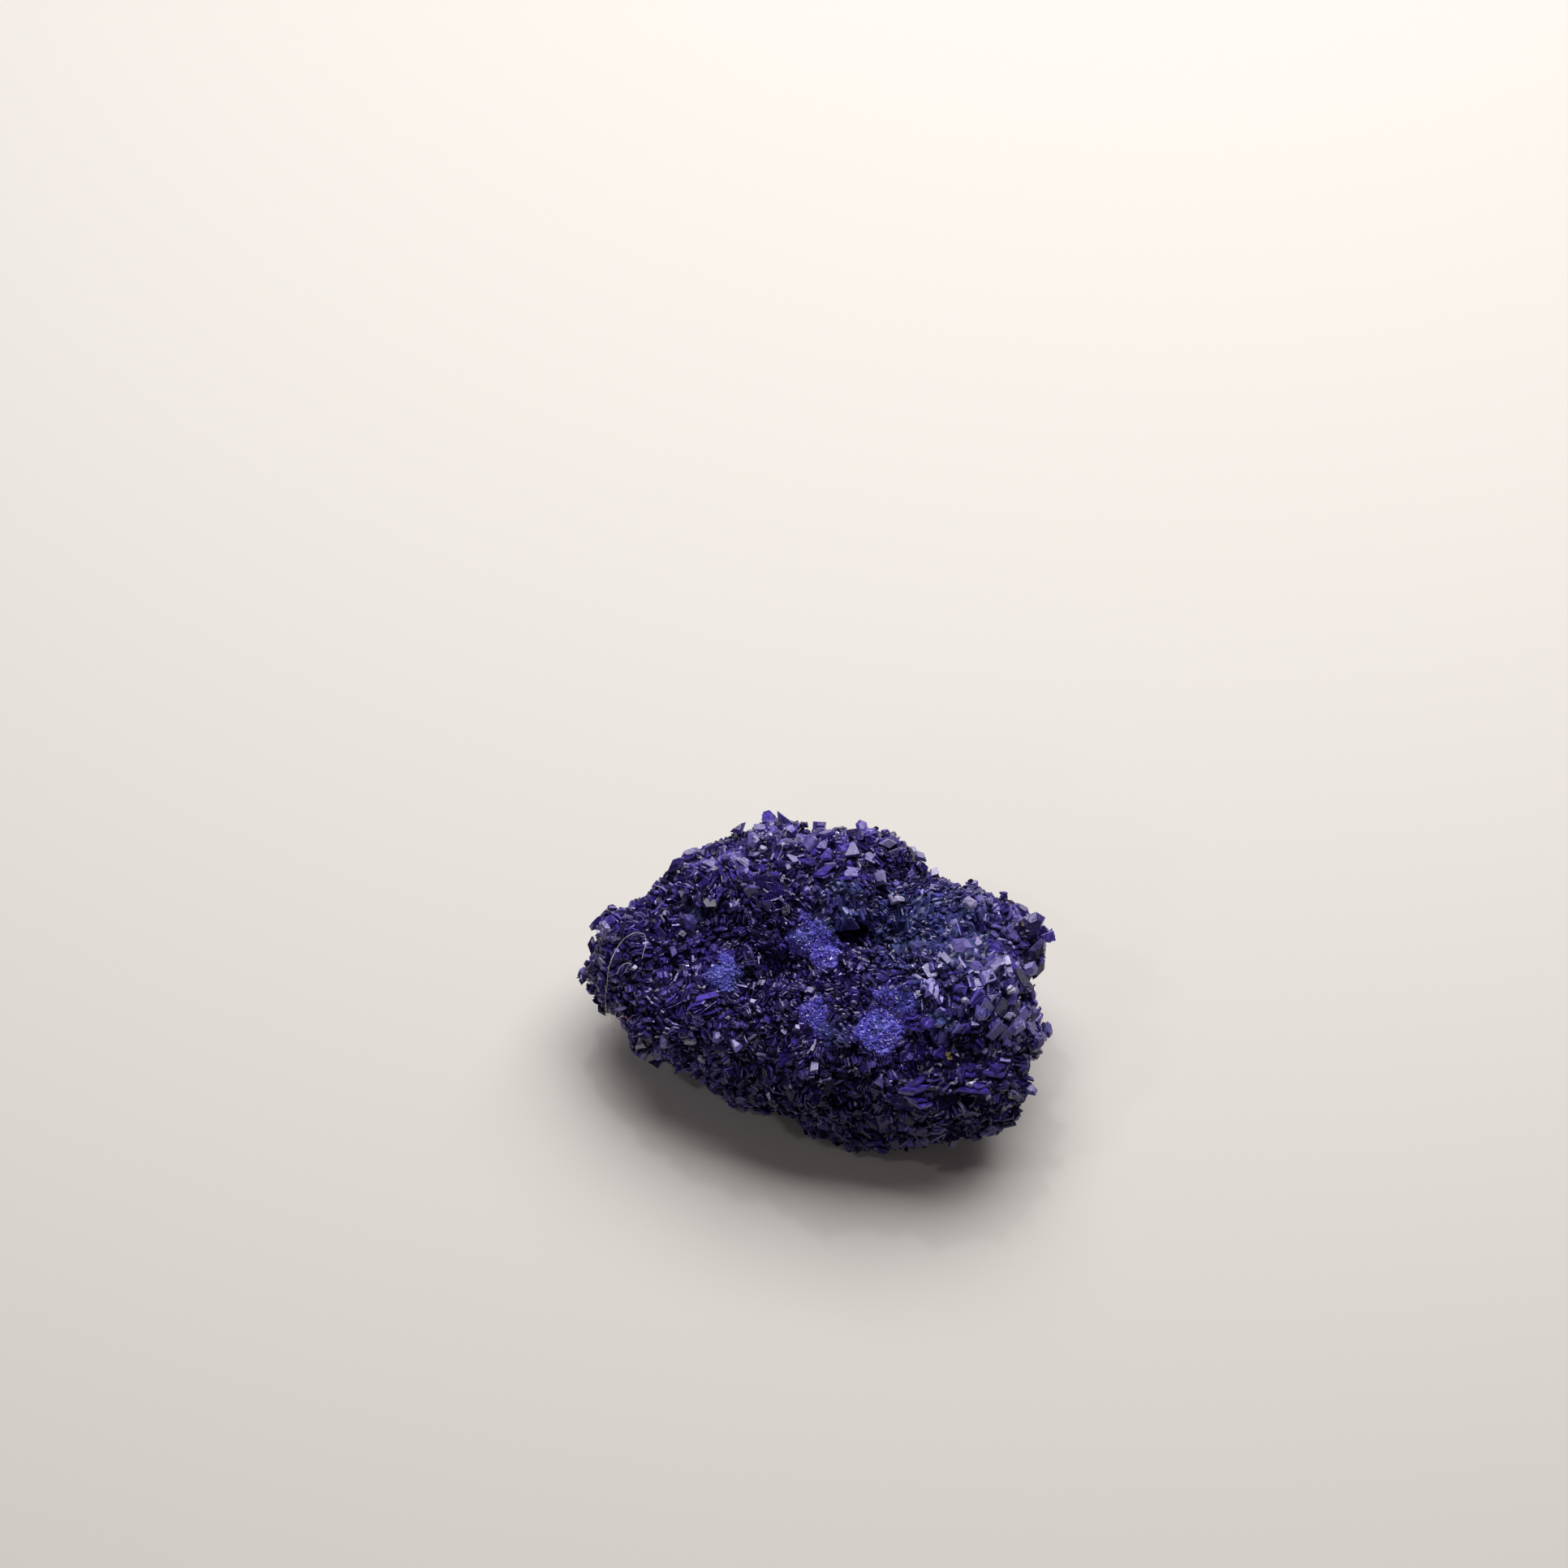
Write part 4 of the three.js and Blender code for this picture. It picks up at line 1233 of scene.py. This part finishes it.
ochreColours = {"dark": (0.05, 0.035, 0.01), "ochre": (0.36, 0.30, 0.10), "red": (0.36, 0.12, 0.12)}
lintColours = {"dim": (0.44, 0.39, 0.38), "pale": (0.85, 0.77, 0.72)}


def ochreMaterial():
    material, tree, shader = newMaterial("ochreGrain", {"Roughness": 0.45})
    cloud = noiseOver(tree, Scale=4000.0, Detail=3.0)
    red = addNode(tree, "ShaderNodeAttribute", attribute_name="tone")
    ochre = mixColours(tree, cloud.outputs["Fac"], ochreColours["dark"], ochreColours["ochre"])
    colour = mixColours(tree, red.outputs["Fac"], ochre, ochreColours["red"])
    tree.links.new(colour, shader.inputs["Base Color"])
    return material


def lintMaterial():
    material, tree, shader = newMaterial("lintFibre", {"Roughness": 0.6})
    cloud = noiseOver(tree, Scale=1500.0, Detail=2.0)
    colour = mixColours(tree, cloud.outputs["Fac"], lintColours["dim"], lintColours["pale"])
    tree.links.new(colour, shader.inputs["Base Color"])
    return material


def makeStage():
    floorShape = bmesh.new()
    bmesh.ops.create_grid(floorShape, x_segments=1, y_segments=1, size=stageLook["floorSize"])
    mesh = bpy.data.meshes.new("floor")
    floorShape.to_mesh(mesh)
    floorShape.free()
    floor = bpy.data.objects.new("floor", mesh)
    bpy.context.scene.collection.objects.link(floor)
    paper = newMaterial("floorPaper", {"Base Color": (*stageLook["floor"], 1), "Roughness": 0.8})[0]
    mesh.materials.append(paper)
    world = bpy.data.worlds.new("world")
    world.use_nodes = True
    world.node_tree.nodes["Background"].inputs["Color"].default_value = (*stageLook["world"], 1)
    bpy.context.scene.world = world
    bpy.context.scene.view_settings.view_transform = "Standard"
    for name, look in stageLook["lights"].items():
        light = bpy.data.lights.new(name, "AREA")
        light.shape = "RECTANGLE"
        light.size, light.size_y = look["size"]
        light.energy = look["watts"]
        light.color = look["colour"]
        lamp = bpy.data.objects.new(name, light)
        lamp.location = look["at"]
        aim = Vector((0, 0, stageLook["aimHeight"] * mm)) - lamp.location
        lamp.rotation_euler = aim.to_track_quat("-Z", "Y").to_euler()
        bpy.context.scene.collection.objects.link(lamp)


shade = azuriteShade()
crystalLook = azuriteMaterial("azuriteCrystal", shade)
grainLook = azuriteMaterial("azuriteGrain", shade, rimlight=0.0)
bedLook = azuriteMaterial("azuriteBed", shade, rimlight=0.0, specular=0.3)
# A shaded copy of the crystal material for the front: weaker reflections there are painted shade.
shadedFrontLook = azuriteMaterial("azuriteFrontShaded", shade, specular=0.2)
looks = [(piece, shadedFrontLook if piece.name == "front_crystals" else crystalLook) for piece in plantCrystals()]
looks += [(growStandouts(), crystalLook), (growBooks(), crystalLook)]
looks += [(plantGrains(), grainLook), (makeBed(), bedLook)]
carriers = carriersOf([piece for piece, look in looks])
looks += [(growGlints(carriers), crystalLook), (scatterCrumbs(carriers), grainLook)]
for piece, look in looks:
    piece.data.materials.append(look)
scatterOchre(carriers).data.materials.append(ochreMaterial())
layLint().data.materials.append(lintMaterial())
makeStage()
